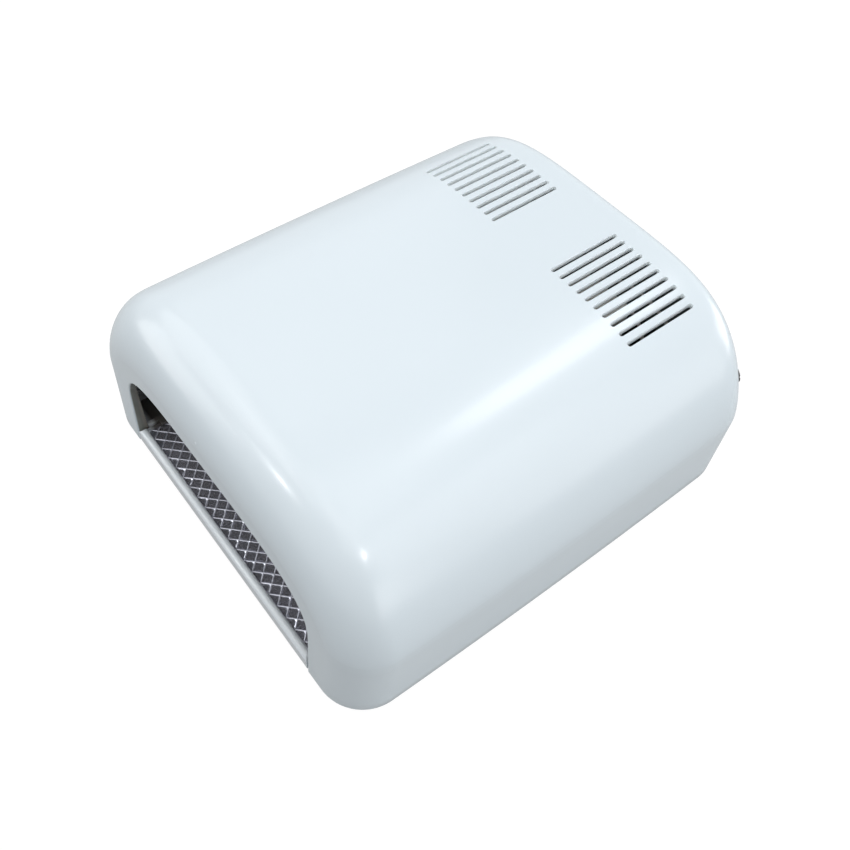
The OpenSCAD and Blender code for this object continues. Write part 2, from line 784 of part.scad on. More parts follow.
// The same screw driven down
module screw_down(head_z, len) {
    translate([0, 0, head_z]) cylinder(r = screw_head_r, h = screw_head_h);
    translate([0, 0, head_z - len]) cylinder(r = pilot_r, h = len + eps);
}

module housing_screws() place() color("silver") mirrored_x() for (y = boss_ys)
    translate([boss_x, y, 0]) screw_up(base_z + screw_head_h, housing_screw_len);

// Tray with its rounded lip, upturned edges and underside ribs, and the embossed sheet that lies in it

module lip_profile() {
    r = lip_t / 2;
    square([lip_t, lip_h - r]);
    translate([r, lip_h - r]) circle(r);
}

module tray() place() color("white") {
    floor_front_y = tray_front_y + lip_t - 0.5;
    edge_top_z = tray_top_z + tray_edge_h;
    intersection() {
        translate([0, tray_front_y, base_z]) extrude_x(-tray_x, tray_x) lip_profile();
        extrude_y(0, 20) translate([0, base_z]) {
            translate([-tray_x, 0]) square([2 * tray_x, lip_h - lip_corner_r]);
            translate([-tray_x + lip_corner_r, 0]) square([2 * (tray_x - lip_corner_r), lip_h]);
            for (x = [-1, 1] * (tray_x - lip_corner_r))
                translate([x, lip_h - lip_corner_r]) circle(lip_corner_r);
        }
    }
    block([-tray_x, floor_front_y, tray_floor_z], [tray_x, tray_back_y, tray_top_z]);
    mirrored_x()
        block([tray_x - tray_edge_t, floor_front_y, tray_floor_z], [tray_x, tray_back_y, edge_top_z]);
    block([-tray_x, tray_back_y - tray_edge_t, tray_floor_z], [tray_x, tray_back_y, edge_top_z]);
    for (x = [-1.5, -0.5, 0.5, 1.5] * tray_rib_pitch)
        block([x - tray_rib_t / 2, floor_front_y, base_z + 0.3],
              [x + tray_rib_t / 2, tray_back_y - 6, tray_floor_z + eps]);
    for (y = [0.28, 0.54, 0.8] * tray_len)
        block([-tray_x + rail_reach + 2, y - tray_rib_t / 2, base_z + 0.9],
              [tray_x - rail_reach - 2, y + tray_rib_t / 2, tray_floor_z + eps]);
}

module tray_reflector() place() color("lightsteelblue")
    block([-tray_x + tray_edge_t + 0.2, tray_front_y + lip_t + 0.2, tray_top_z],
          [tray_x - tray_edge_t - 0.2, tray_back_y - tray_edge_t - 0.3, tray_top_z + tray_sheet_t]);

// Bright sheet round the chamber and the socket plate behind it

module reflector_arch() place() color("lightsteelblue") difference() {
    extrude_y(chamber_front_y, plate_y) strip_profile(chamber_path, -sheet_t);
    mirrored_x() for (y = chassis_screw_ys) translate([chassis_screw_x, y, base_z])
        cylinder(r = pilot_r + screw_gap, h = base_t + 4);
    mirrored_x() translate([foot_x, foot_ys[0], base_z]) cylinder(r = foot_head_r + 0.8, h = base_t + 4);
    for (i = [0:3]) at_lamp(i) translate([0, clip_y, lamp_standoff - 2]) cylinder(r = clip_hole_r, h = 5);
}

module socket_plate() place() color("silver") difference() {
    union() {
        extrude_y(plate_y, plate_y + plate_t) polygon(concat(
            [for (p = chamber_path) if (p.y > base_top_z + 1) p + [sign(p.x) * plate_margin, 1]],
            [[-chamber_x - plate_margin, base_top_z], [chamber_x + plate_margin, base_top_z]]));
        block([-plate_foot_x, plate_y, base_top_z],
              [plate_foot_x, plate_y + plate_foot, base_top_z + plate_t]);
    }
    for (i = [0:3]) at_lamp(i) extrude_y(plate_y - 1, plate_y + plate_t + 1)
        square([holder_body_w + 0.3, holder_body_t + 0.3], center = true);
    for (x = [-1, 1] * plate_screw_x) translate([x, plate_screw_y, base_z])
        cylinder(r = pilot_r + screw_gap, h = base_t + 4);
    for (x = [-1, 0, 1] * wire_hole_x, z = wire_hole_zs)
        rod_y(x, z, wire_hole_r, plate_y - 1, plate_y + plate_t + 1);
    for (p = board_corners) rod_y(p.x, p.y, board_hole_r, plate_y - 1, plate_y + plate_t + 1);
}

module chassis_screws() place() color("silver") {
    mirrored_x() for (y = chassis_screw_ys) translate([chassis_screw_x, y, 0])
        screw_down(base_top_z + sheet_t, chassis_screw_len);
    for (x = [-1, 1] * plate_screw_x) translate([x, plate_screw_y, 0])
        screw_down(base_top_z + plate_t, plate_screw_len);
}

// A twin-tube lamp, drawn round its own axis with its seat at seat_y

module tube_glass(i) place() color("lavender") at_lamp(i) {
    for (x = [-1, 1] * tube_pitch / 2) translate([x, tip_y, 0]) rotate([-90, 0, 0]) rotate_extrude() {
        translate([0, tube_r]) square([tube_r, lamp_len - lamp_base_d - tube_r]);
        intersection() {
            translate([0, tube_r]) circle(tube_r);
            square([tube_r, tube_r]);
        }
    }
    translate([-tube_pitch / 2, tube_bridge_y, 0]) rotate([0, 90, 0])
        cylinder(r = tube_bridge_r, h = tube_pitch);
}

module tube_base(i) place() color("white") at_lamp(i) difference() {
    base_front = seat_y - lamp_base_d;
    union() {
        extrude_y(base_front, base_front + 5) round_rect(lamp_base_w - 2, lamp_base_t - 3, 3);
        extrude_y(base_front + 5, seat_y) round_rect(lamp_base_w, lamp_base_t, 3);
        extrude_y(seat_y, seat_y + post_len) round_rect(post_w, post_t, 1.5);
    }
    for (x = [-1, 1] * pin_pitch / 2) rod_y(x, 0, pin_r + pin_fit, seat_y - pin_root, seat_y + 1);
}

module tube_pins(i) place() color("gold") at_lamp(i)
    for (x = [-1, 1] * pin_pitch / 2) rod_y(x, 0, pin_r, seat_y - pin_root, seat_y + pin_len);

module lampholder(i) place() color("ivory") at_lamp(i) difference() {
    union() {
        extrude_y(seat_y, plate_y) round_rect(holder_w, holder_t, 2);
        extrude_y(plate_y, holder_back_y) round_rect(holder_body_w, holder_body_t, 1);
        mirrored_x() translate([holder_body_w / 2, plate_y + plate_t + 0.2, 0])
            linear_extrude(6, center = true) polygon([[-0.1, 0], [1.1, 0], [-0.1, 4.8]]);
    }
    extrude_y(seat_y - 1, seat_y + post_len + socket_gap)
        round_rect(post_w + 2 * socket_gap, post_t + 2 * socket_gap, 1.5);
    for (x = [-1, 1] * pin_pitch / 2) rod_y(x, 0, pin_r + 0.15, seat_y - 1, seat_y + pin_len + 1);
}

// A spring clip: two open rings round the tubes, joined by a strip and a foot on the reflector
module tube_clip(i) place() color("silver") at_lamp(i) translate([0, clip_y, 0]) {
    ring_r = tube_r + 0.3;
    for (x = [-1, 1] * tube_pitch / 2) difference() {
        rod_y(x, 0, ring_r + clip_t, -clip_w / 2, clip_w / 2);
        rod_y(x, 0, ring_r, -clip_w, clip_w);
        extrude_y(-clip_w, clip_w) translate([x, 0])
            polygon([[0, 0], [-9, -11], [9, -11]]);
    }
    block([-tube_pitch / 2, -clip_w / 2, ring_r + 0.1], [tube_pitch / 2, clip_w / 2, ring_r + clip_t]);
    difference() {
        block([-3, -clip_w / 2, ring_r + clip_t / 2], [3, clip_w / 2, lamp_standoff]);
        rod_y(-3, ring_r + clip_t + 1.6, 1, -clip_w, clip_w);
        rod_y(3, ring_r + clip_t + 1.6, 1, -clip_w, clip_w);
        translate([0, 0, ring_r - 1]) cylinder(r = clip_hole_r, h = lamp_standoff);
    }
}

module clip_rivets() place() color("silver") for (i = [0:3]) at_lamp(i) translate([0, clip_y, 0]) {
    translate([0, 0, lamp_standoff - rivet_tail]) cylinder(r = rivet_r, h = rivet_tail + sheet_t + 0.2);
    translate([0, 0, lamp_standoff + sheet_t]) cylinder(r = rivet_head_r, h = rivet_head_h);
}

// Chokes: a laminated core with two windows, and a winding round its centre leg

module choke_places() {
    for (s = [-1, 1]) translate([s * choke_x, choke_y, core_z]) children();
}

module choke_cores() place() color("slategray") choke_places() difference() {
    translate([-core_w / 2, -core_d / 2, 0]) cube([core_w, core_d, core_stack]);
    for (s = [-1, 1]) translate([0, s * (core_leg + core_window) / 2, core_stack / 2])
        cube([core_w - 2 * core_yoke, core_window, core_stack + 2], center = true);
}

module choke_windings() place() color("chocolate") choke_places() {
    reach = core_w / 2 - core_yoke - coil_gap;
    translate([0, 0, core_stack / 2]) difference() {
        extrude_x(-reach, reach)
            round_rect(core_leg + 2 * (core_window - coil_gap), core_stack + 2 * coil_bulge, 2.5);
        cube([core_w, core_leg + 2 * coil_gap, core_stack + 2 * coil_gap], center = true);
    }
}

module choke_brackets() place() color("silver") choke_places() for (e = [-1, 1]) {
    x = e > 0 ? core_w / 2 : -core_w / 2 - bracket_t;
    f = e > 0 ? core_w / 2 : -core_w / 2 - bracket_t - bracket_foot;
    z = base_top_z - core_z;
    block([x, -bracket_half_d, z], [x + bracket_t, bracket_half_d, core_stack]);
    difference() {
        block([f, -bracket_foot_half_d, z],
              [f + bracket_t + bracket_foot, bracket_foot_half_d, z + bracket_t]);
        translate([e * (core_w / 2 + bracket_t + bracket_foot / 2), 0, z - 1])
            cylinder(r = pilot_r + screw_gap, h = 4);
    }
}

module choke_screws() place() color("silver") for (p = choke_screw_at)
    translate([p.x, p.y, 0]) screw_down(base_top_z + bracket_t, choke_screw_len);

// Timer board behind the socket plate, and what is soldered to it

module timer_board() place() color("darkgreen") difference() {
    block([-board_w / 2, board_y, board_z], [board_w / 2, board_y + board_t, board_z + board_h]);
    for (p = board_corners) rod_y(p.x, p.y, board_hole_r + 0.1, board_y - 1, board_y + board_t + 1);
}

module board_spacers() place() color("khaki") for (p = board_corners) difference() {
    rod_y(p.x, p.y, 2.4, plate_y + plate_t, board_y);
    rod_y(p.x, p.y, board_hole_r + 0.1, plate_y, board_y + 1);
}

module board_screws() place() color("silver") for (p = board_corners) {
    rod_y(p.x, p.y, board_hole_r - 0.1, plate_y - 1, board_y + board_t + eps);
    rod_y(p.x, p.y, 2.5, board_y + board_t, board_y + board_t + 1.6);
    rod_y(p.x, p.y, 2.5, plate_y - 1.4, plate_y);
}

module on_board(p) {
    translate([p.x, parts_y, board_z + p.y]) children();
}

module relay() place() color("royalblue") on_board(relay_at)
    extrude_y(0, relay_d) round_rect(relay_w, relay_h, 1);

module capacitors() place() color("navy") {
    on_board(tall_can_at) rod_y(0, 0, tall_can_r, 0, tall_can_len);
    on_board(small_can_at) rod_y(0, 0, small_can_r, 0, small_can_len);
    on_board(film_at) extrude_y(0, film_d) round_rect(film_w, film_h, 1);
}

module timer_chip() place() color("black") on_board(chip_at) {
    half = chip_leg_w / 2;
    extrude_y(chip_standoff, chip_standoff + chip_d) square([chip_w, chip_h], center = true);
    for (x = [-1.5, -0.5, 0.5, 1.5] * chip_leg_pitch, z = [-1, 1] * chip_row)
        block([x - half, 0, z - half], [x + half, chip_standoff + chip_d / 2, z + half]);
}

module board_transformer() place() color("goldenrod") on_board(coil_form_at) {
    extrude_y(coil_form_foot, coil_form_foot + coil_form_d) round_rect(coil_form_w, coil_form_w, 1);
    extrude_y(0, coil_form_foot) round_rect(coil_form_w - 2, coil_form_w + 1, 0.6);
    extrude_y(coil_form_foot + coil_form_d, 2 * coil_form_foot + coil_form_d)
        round_rect(coil_form_w - 3, coil_form_w, 0.6);
}

module terminal_block() place() color("seagreen") difference() {
    on_board(terminal_at) extrude_y(0, terminal_d) square([terminal_w, terminal_h], center = true);
    for (x = terminal_xs) translate([x, parts_y, terminal_z]) {
        rod_y(0, 1, terminal_screw_r, terminal_d - terminal_screw_depth, terminal_d + 1);
        translate([0, terminal_entry_y, -terminal_entry_len])
            cylinder(r = terminal_entry_r, h = terminal_entry_len);
    }
}

// Rocker switch with a paddle that tilts on its two trunnions

module rocker_housing() place() color("black") at_control(rocker_x) difference() {
    union() {
        extrude_y(panel_y - rocker_d, panel_y) square([rocker_w, rocker_l], center = true);
        extrude_y(panel_y, panel_y + rocker_bezel_t) round_rect(rocker_w + 1.8, rocker_l + 1.8, 1.2);
        for (z = rocker_tab_zs)
            block([-tab_w / 2, rocker_tab_y, z - tab_t / 2],
                  [tab_w / 2, panel_y - rocker_d + eps, z + tab_t / 2]);
    }
    extrude_y(panel_y - 7, panel_y + 5) square([rocker_w - 2 * rocker_wall, rocker_cavity_l], center = true);
    translate([-rocker_w / 2 + 0.3, rocker_pivot_y, 0]) rotate([0, 90, 0])
        cylinder(r = trunnion_r + trunnion_gap, h = rocker_w - 0.6);
}

module rocker_paddle() place() color("dimgray") at_control(rocker_x) translate([0, rocker_pivot_y, 0]) {
    paddle_w = rocker_w - 2 * rocker_wall - 0.5;
    reach = rocker_cavity_l / 2 - 0.9;
    face = [for (s = [-1:0.25:1]) [1.8 + 1.6 * s * s, s * reach]];
    extrude_x(-paddle_w / 2, paddle_w / 2)
        polygon(concat(face, [[-2.6, reach - 1], [-3.8, 0], [-2.6, 1 - reach]]));
    translate([-paddle_w / 2 - 0.8, 0, 0]) rotate([0, 90, 0]) cylinder(r = trunnion_r, h = paddle_w + 1.6);
}

// Start button: the cap's flange is kept in by a step in the bore, with the return spring behind it

module start_button_housing() place() color("dimgray") at_control(start_x) difference() {
    union() {
        rod_y(0, 0, start_r, start_floor_y - start_back_t, panel_y);
        rod_y(0, 0, start_r + 2.5, panel_y, panel_y + start_bezel_t);
        for (x = [-1, 1] * start_tab_x)
            block([x - tab_t / 2, start_tab_y, -start_tab_w / 2],
                  [x + tab_t / 2, start_floor_y - start_back_t + 0.1, start_tab_w / 2]);
    }
    rod_y(0, 0, start_cap_r + button_gap, start_step_y - 1, panel_y + 5);
    rod_y(0, 0, start_flange_r + button_gap, start_floor_y, start_step_y);
}

module start_button_cap() place() color("green") at_control(start_x) {
    rod_y(0, 0, start_flange_r, start_step_y - start_flange_t - 0.1, start_step_y - 0.1);
    rod_y(0, 0, start_cap_r, start_step_y - 0.2, panel_y + start_bezel_t + start_travel + 0.5);
}

module start_button_spring() place() color("silver") at_control(start_x)
    coil_along_y(start_floor_y + 0.05, start_step_y - start_flange_t - 0.15, 3.2, 0.35, 4);

module start_button_nut() place() color("silver") at_control(start_x) difference() {
    rod_y_hex(start_r + 3, panel_in_y - nut_t, panel_in_y);
    rod_y(0, 0, start_r + nut_gap, panel_in_y - nut_t - 1, panel_in_y + 1);
}

// Fuse holder: a bayonet cap that carries the fuse and turns a quarter

module fuse_holder() place() color("black") at_control(fuse_x) difference() {
    union() {
        rod_y(0, 0, fuse_r, panel_y - fuse_depth, panel_y);
        rod_y(0, 0, fuse_r + 1.8, panel_y, panel_y + fuse_flange_t);
        block([-tab_t / 2, fuse_tab_y, -fuse_tab_w / 2],
              [tab_t / 2, panel_y - fuse_depth + eps, fuse_tab_w / 2]);
    }
    rod_y(0, 0, fuse_bore_r, panel_y - fuse_depth + 2, panel_y + fuse_flange_t + 1);
}

module fuse_cap() place() color("black") at_control(fuse_x) difference() {
    union() {
        rod_y(0, 0, fuse_cap_r, panel_y + fuse_flange_t + 0.3, back_y - 1.2);
        rod_y(0, 0, fuse_cap_r - 1.2, back_y - 1.3, back_y);
        rod_y(0, 0, fuse_bore_r - 0.1, panel_y - 4, panel_y + fuse_flange_t + 0.4);
    }
    for (a = [0:24:359]) rotate([0, a, 0])
        rod_y(fuse_cap_r + 0.5, 0, 0.9, panel_y + fuse_flange_t + 2.3, back_y + 1);
    extrude_y(back_y - 1.4, back_y + 1) square([9, 1.4], center = true);
    rod_y(0, 0, 2.65, panel_y - 5, panel_y + fuse_flange_t + 6);
}

module fuse_link() place() color("silver") at_control(fuse_x)
    rod_y(0, 0, 2.6, panel_y - fuse_depth + 4, panel_y + fuse_flange_t + 5.5);

module fuse_nut() place() color("dimgray") at_control(fuse_x) difference() {
    rod_y_hex(fuse_r + 2.8, panel_in_y - nut_t, panel_in_y);
    rod_y(0, 0, fuse_r + nut_gap, panel_in_y - nut_t - 1, panel_in_y + 1);
}

// Cord gland with the bore that takes the mains lead

module cord_gland() place() color("black") at_control(-gland_x) difference() {
    union() {
        rod_y(0, 0, gland_r, panel_y - gland_in, panel_y);
        rod_y(0, 0, gland_r + 2, panel_y, panel_y + gland_flange_t);
        rod_y(0, 0, gland_r - 0.5, panel_y + gland_flange_t - 0.1, panel_y + gland_out);
    }
    rod_y(0, 0, gland_bore_r, panel_y - gland_in - 1, panel_y + gland_out + 1);
}

module gland_nut() place() color("black") at_control(-gland_x) difference() {
    rod_y_hex(gland_r + 3, panel_in_y - nut_t, panel_in_y);
    rod_y(0, 0, gland_r + nut_gap, panel_in_y - nut_t - 1, panel_in_y + 1);
}

// Wiring of the rear bay, with the connectors that push on to the tabs of the controls

// A connector over a tab along y: w and t are the tab's width and thickness
module spade_connector(tab_y, len, w, t) {
    difference() {
        extrude_y(tab_y - sleeve_reach, tab_y + len - sleeve_gap)
            square([w + 2 * (sleeve_gap + sleeve_wall), t + 2 * (sleeve_gap + sleeve_wall)], center = true);
        extrude_y(tab_y, tab_y + len) square([w + 2 * sleeve_gap, t + 2 * sleeve_gap], center = true);
    }
}

module spade_connectors() place() color("silver") {
    for (z = rocker_tab_zs) at_control(rocker_x) translate([0, 0, z])
        spade_connector(rocker_tab_y, rocker_tab_len, tab_w, tab_t);
    for (x = [-1, 1] * start_tab_x) at_control(start_x) translate([x, 0, 0])
        spade_connector(start_tab_y, start_tab_len, tab_t, start_tab_w);
    at_control(fuse_x) spade_connector(fuse_tab_y, fuse_tab_len, tab_t, fuse_tab_w);
}

// Points of a wire that comes up into terminal i from below
function into_terminal(i) = [
    [terminal_xs[i], parts_y + terminal_entry_y, terminal_z - 2.75 * wire_bend],
    [terminal_xs[i], parts_y + terminal_entry_y, terminal_z - 1.25 * wire_bend],
    [terminal_xs[i], parts_y + terminal_entry_y, terminal_z - sleeve_gap]
];

// Points of a wire that is soldered to pad i of the board
function on_pad(i) = [
    [pad_xs[i], parts_y + 1.25 * wire_bend, pad_z],
    [pad_xs[i], parts_y, pad_z]
];

// From the fuse and the start button to the rocker switch, the terminals and the board
module control_wires() place() color("ivory") {
    b = wire_bend;
    tab_front = rocker_tab_y - sleeve_reach;
    start_front = start_tab_y - sleeve_reach;
    fuse_side = fuse_x - tab_t / 2 - sleeve_gap - sleeve_wall;
    fuse_mid = fuse_tab_y + fuse_tab_len / 2;
    wire([
        [fuse_side, fuse_mid, control_z], [fuse_side - b, fuse_mid, control_z],
        [fuse_side - 3.25 * b, fuse_mid - 0.5 * b, control_z - 0.75 * b],
        [rocker_x + 4 * b, tab_front - 1.5 * b, control_z - b],
        [rocker_x + 1.5 * b, tab_front - 2 * b, control_z - 0.5 * b],
        [rocker_x, tab_front - 1.5 * b, control_z],
        [rocker_x, tab_front - 0.5 * b, control_z], [rocker_x, tab_front, control_z]
    ]);
    for (i = [0, 1]) {
        z = control_z + rocker_tab_zs[2 * i];
        wire(concat([
            [rocker_x, tab_front, z], [rocker_x, tab_front - 0.75 * b, z],
            [rocker_x, tab_front - 1.5 * b, z - 0.25 * b],
            [rocker_x - 1.75 * b, tab_front - (1.75 - 0.35 * i) * b, z - (1 + 0.5 * i) * b],
            [rocker_x - (3.25 - 0.25 * i) * b, tab_front - 1.75 * b, z - (1.5 + 1.25 * i) * b],
            [terminal_xs[3 - i] + 0.5 * b, parts_y + (2.1 + 0.5 * i) * b,
             terminal_z - (2.25 + 0.5 * i) * b]],
            into_terminal(3 - i)));
    }
    for (i = [0, 1]) {
        x = start_x + (2 * i - 1) * start_tab_x;
        wire(concat([
            [x, start_front, control_z], [x, start_front - 0.75 * b, control_z],
            [x - (1.4 - 0.75 * i) * b, start_front - (0.85 - 0.5 * i) * b, control_z - 1.75 * b],
            [-2.5 * b, start_front - (1.6 - i) * b, control_z - (2.6 + i) * b],
            [pad_xs[1 + i], parts_y + (1.85 + 0.5 * i) * b, pad_z - (0.6 + 0.5 * i) * b]],
            on_pad(1 + i)));
    }
}

// From the terminals and the board to the chokes, and from the chokes to the ceiling lamps
module choke_wires() place() color("ivory") {
    b = wire_bend;
    lead_x = choke_x - 3 * b;
    far_x = choke_x + 2.5 * b;
    pin_x = ceiling_lamp_x + pin_pitch / 2;
    wire(concat([
        [lead_x, choke_y, coil_top_z], [lead_x, choke_y, coil_top_z + b],
        [lead_x - 1.5 * b, choke_y + 0.5 * b, coil_top_z + 1.1 * b],
        [lead_x - 2.5 * b, choke_y + 1.25 * b, coil_top_z - 0.4 * b],
        [lead_x - 4 * b, choke_y, coil_top_z - 1.9 * b],
        [terminal_xs[1], parts_y + 2 * b, coil_top_z - 1.9 * b]],
        into_terminal(1)));
    wire(concat([
        [-lead_x, choke_y, coil_top_z], [-lead_x, choke_y, coil_top_z + 0.9 * b],
        [-lead_x + b, choke_y - b, coil_top_z + 1.1 * b],
        [pad_xs[3] - 0.25 * b, parts_y + 2.1 * b, pad_z - 0.25 * b]],
        on_pad(3)));
    mirrored_x() wire([
        [far_x, choke_y, coil_top_z], [far_x, choke_y, coil_top_z + 1.1 * b],
        [far_x + 0.5 * b, choke_y + 0.5 * b, coil_top_z + 4 * b],
        [far_x - 1.5 * b, holder_back_y + 2 * b, ceiling_lamp_z - 2 * b],
        [pin_x + 0.25 * b, holder_back_y + 1.75 * b, ceiling_lamp_z],
        [pin_x, holder_back_y + b, ceiling_lamp_z], [pin_x, holder_back_y, ceiling_lamp_z]
    ]);
}

// From each ceiling lamp to the side lamp next to it, and from there to the terminals and the board
module lamp_wires() place() color("ivory") {
    b = wire_bend;
    inner_x = ceiling_lamp_x - pin_pitch / 2;
    high_z = side_lamp_z + pin_pitch / 2;
    low_z = side_lamp_z - pin_pitch / 2;
    run_z = low_z - 1.75 * b;
    front_y = plate_y + plate_t + b;
    mirrored_x() wire([
        [inner_x, holder_back_y, ceiling_lamp_z], [inner_x, holder_back_y + 1.25 * b, ceiling_lamp_z],
        [inner_x + b, holder_back_y + 2.25 * b, ceiling_lamp_z + 1.75 * b],
        [inner_x + 6.5 * b, holder_back_y + 2.75 * b, ceiling_lamp_z + 2.5 * b],
        [side_lamp_x - 3.5 * b, holder_back_y + 2.25 * b, ceiling_lamp_z + 0.75 * b],
        [side_lamp_x - 0.25 * b, holder_back_y + 2 * b, high_z + 3 * b],
        [side_lamp_x, holder_back_y + 1.25 * b, high_z + 0.5 * b],
        [side_lamp_x, holder_back_y + 0.85 * b, high_z], [side_lamp_x, holder_back_y, high_z]
    ]);
    for (s = [-1, 1]) wire(concat([
        [s * side_lamp_x, holder_back_y, low_z], [s * side_lamp_x, holder_back_y + 0.75 * b, low_z],
        [s * (side_lamp_x - 0.5 * b), holder_back_y + 1.4 * b, low_z - 1.5 * b],
        [s * (side_lamp_x - 2 * b), holder_back_y + 0.25 * b, low_z - 2.75 * b],
        [s * (side_lamp_x - 2 * b), holder_back_y - 2.75 * b, low_z - 2.25 * b],
        [s * (side_lamp_x - 3.5 * b), front_y - 0.1 * b, run_z],
        [s * (side_lamp_x - 10 * b), front_y, run_z]],
        s > 0
            ? [[terminal_xs[0] + 2 * b, front_y, run_z],
               [terminal_xs[0], front_y + b, run_z + 0.5 * b], each into_terminal(0)]
            : [[pad_xs[0] - 0.75 * b, front_y + 0.25 * b, run_z],
               [pad_xs[0] + 0.5 * b, front_y + 1.25 * b, run_z + b],
               [pad_xs[0], parts_y + 1.6 * b, pad_z - 1.1 * b], each on_pad(0)]));
}

upper_housing();
base_frame();
rubber_feet();
housing_screws();
tray();
tray_reflector();
reflector_arch();
socket_plate();
chassis_screws();
tube_glass(0);  // tube_top_left
tube_glass(1);  // tube_top_right
tube_glass(2);  // tube_side_left
tube_glass(3);  // tube_side_right
tube_base(0);  // tube_base_top_left
tube_base(1);  // tube_base_top_right
tube_base(2);  // tube_base_side_left
tube_base(3);  // tube_base_side_right
tube_pins(0);  // tube_pins_top_left
tube_pins(1);  // tube_pins_top_right
tube_pins(2);  // tube_pins_side_left
tube_pins(3);  // tube_pins_side_right
lampholder(0);  // lampholder_top_left
lampholder(1);  // lampholder_top_right
lampholder(2);  // lampholder_side_left
lampholder(3);  // lampholder_side_right
tube_clip(0);  // tube_clip_top_left
tube_clip(1);  // tube_clip_top_right
tube_clip(2);  // tube_clip_side_left
tube_clip(3);  // tube_clip_side_right
clip_rivets();
choke_cores();
choke_windings();
choke_brackets();
choke_screws();
timer_board();
board_spacers();
board_screws();
relay();
capacitors();
timer_chip();
board_transformer();
terminal_block();
rocker_housing();
rocker_paddle();
start_button_housing();
start_button_cap();
start_button_spring();
start_button_nut();
fuse_holder();
fuse_cap();
fuse_link();
fuse_nut();
cord_gland();
gland_nut();
spade_connectors();
control_wires();
choke_wires();
lamp_wires();
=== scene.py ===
import json
import math

import bmesh
import bpy
import numpy as np
from mathutils import Matrix, Vector
from mathutils.bvhtree import BVHTree
from mathutils.interpolate import poly_3d_calc


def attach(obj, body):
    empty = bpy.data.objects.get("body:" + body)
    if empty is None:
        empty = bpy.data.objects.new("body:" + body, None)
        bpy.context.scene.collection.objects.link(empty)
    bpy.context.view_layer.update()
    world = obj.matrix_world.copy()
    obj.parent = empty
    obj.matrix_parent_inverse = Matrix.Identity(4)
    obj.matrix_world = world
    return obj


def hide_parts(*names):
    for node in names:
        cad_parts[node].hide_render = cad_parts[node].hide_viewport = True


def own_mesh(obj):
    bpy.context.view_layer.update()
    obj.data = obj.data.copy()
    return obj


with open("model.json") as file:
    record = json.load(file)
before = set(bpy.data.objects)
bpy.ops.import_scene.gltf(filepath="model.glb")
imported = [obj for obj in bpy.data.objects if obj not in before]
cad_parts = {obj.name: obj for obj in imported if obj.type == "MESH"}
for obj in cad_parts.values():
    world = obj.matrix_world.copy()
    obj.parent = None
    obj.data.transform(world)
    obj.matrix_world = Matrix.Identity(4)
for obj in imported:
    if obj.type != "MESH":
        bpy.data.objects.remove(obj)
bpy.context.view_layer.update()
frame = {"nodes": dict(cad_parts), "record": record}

scene = bpy.context.scene

# Body millimetres: x across, y from the front face to the back, z up from the housing's lower edge.
# The part's own frame is in metres and stands on the feet under the middle of the whole lamp.
MM = 0.001
MIDDLE_Y = 120.3
FOOT_H = 2.5

# The moulded housing, in the sizes of its solid
BODY_W, BODY_D, BODY_H = 215.0, 229.4, 93.3
TOP_RISE, BELT_H = 2.2, 41.0
SHOULDER_POWER, CROWN_POWER, DRAFT = 4.74, 1.42, 0.032
FRONT_CORNER_R, FRONT_TOP_R = 20.7, 25.6
REAR_CORNER_R, REAR_TOP_R, REAR_POWER = 20.6, 11.8, 2.26
FRONT_LEAN, REAR_LEAN, SIDE_BOW, REAR_BOW = 0.052, 0.03, 1.3, 1.4
WALL = 2.4
ROOF_LIMIT = 95.253
ARCH_W, ARCH_H, ARCH_SPRING, ARCH_POWER_X, ARCH_POWER_Z = 147.3, 56.7, 29.2, 4.23, 2.67
RIM_DEPTH, RIM_WALL = 5.5, 2.2
VENT_COUNT, VENT_PITCH, VENT_FIRST_X = 10, 5.34, 20.2
VENT_FRONT_Y, VENT_LEN, VENT_W = 168.0, 39.6, 2.1
BASE_TOP_Z = 2.6
BOSS_X, BOSS_YS, BOSS_R, PILOT_LEN = 97.99, (34.0, 114.7, 195.4), 3.6, 14.0
WEB_HALF = 0.8

# The recessed panel in the rear and its controls
PANEL_Y, CONTROL_Z = 225.6, 37.0
PANEL_HALF_W, PANEL_HALF_H, PANEL_CORNER_R = 92.0, 17.0, 5.0
FUSE_X, FUSE_HOLE_R = 82.5, 6.35
ROCKER_X, ROCKER_HOLE_W, ROCKER_HOLE_H = 40.0, 13.5, 19.5
BUTTON_X, BUTTON_HOLE_R = 8.0, 6.15
GLAND_X, GLAND_HOLE_R = -76.0, 7.15
SPRING_R, SPRING_WIRE_R, SPRING_TURNS = 3.15, 0.35, 4
SPRING_Y = (212.25, 219.05)

# The embossed sheet in the tray, with a ridge crossing at EMBOSS_AT
SHEET_X, SHEET_FRONT_Y, SHEET_BACK_Y, SHEET_Z, SHEET_THICK = 71.35, 4.5, 165.5, 4.4, 0.45
EMBOSS_PITCH = 6.85
EMBOSS_AT = (23.0, 5.0)

# Screws: where their heads' tops stand, and their lengths
SCREW_HEAD_R, SCREW_HEAD_H, PILOT_R = 3.0, 1.2, 1.3
THREAD_PITCH, THREAD_DEPTH = 1.0, 0.28
HOUSING_SCREW_Z, HOUSING_SCREW_LEN = 0.4, 15.19
ARCH_SCREW_X, ARCH_SCREW_YS, ARCH_SCREW_Z, ARCH_SCREW_LEN = 83.98, (35.0, 154.0), 4.3, 3.8
PLATE_SCREW_X, PLATE_SCREW_Y, PLATE_SCREW_Z, PLATE_SCREW_LEN = 60.0, 184.0, 4.8, 4.2
CHOKE_SCREW_XS, CHOKE_SCREW_Y, CHOKE_SCREW_Z, CHOKE_SCREW_LEN = (22.2, 69.8), 203.1, 4.6, 4.0
BOARD_SCREW_X, BOARD_SCREW_Y, BOARD_SCREW_ZS, BOARD_SCREW_LEN = 29.2, 176.6, (30.3, 52.7), 10.6
BOARD_HEAD_R = 2.5

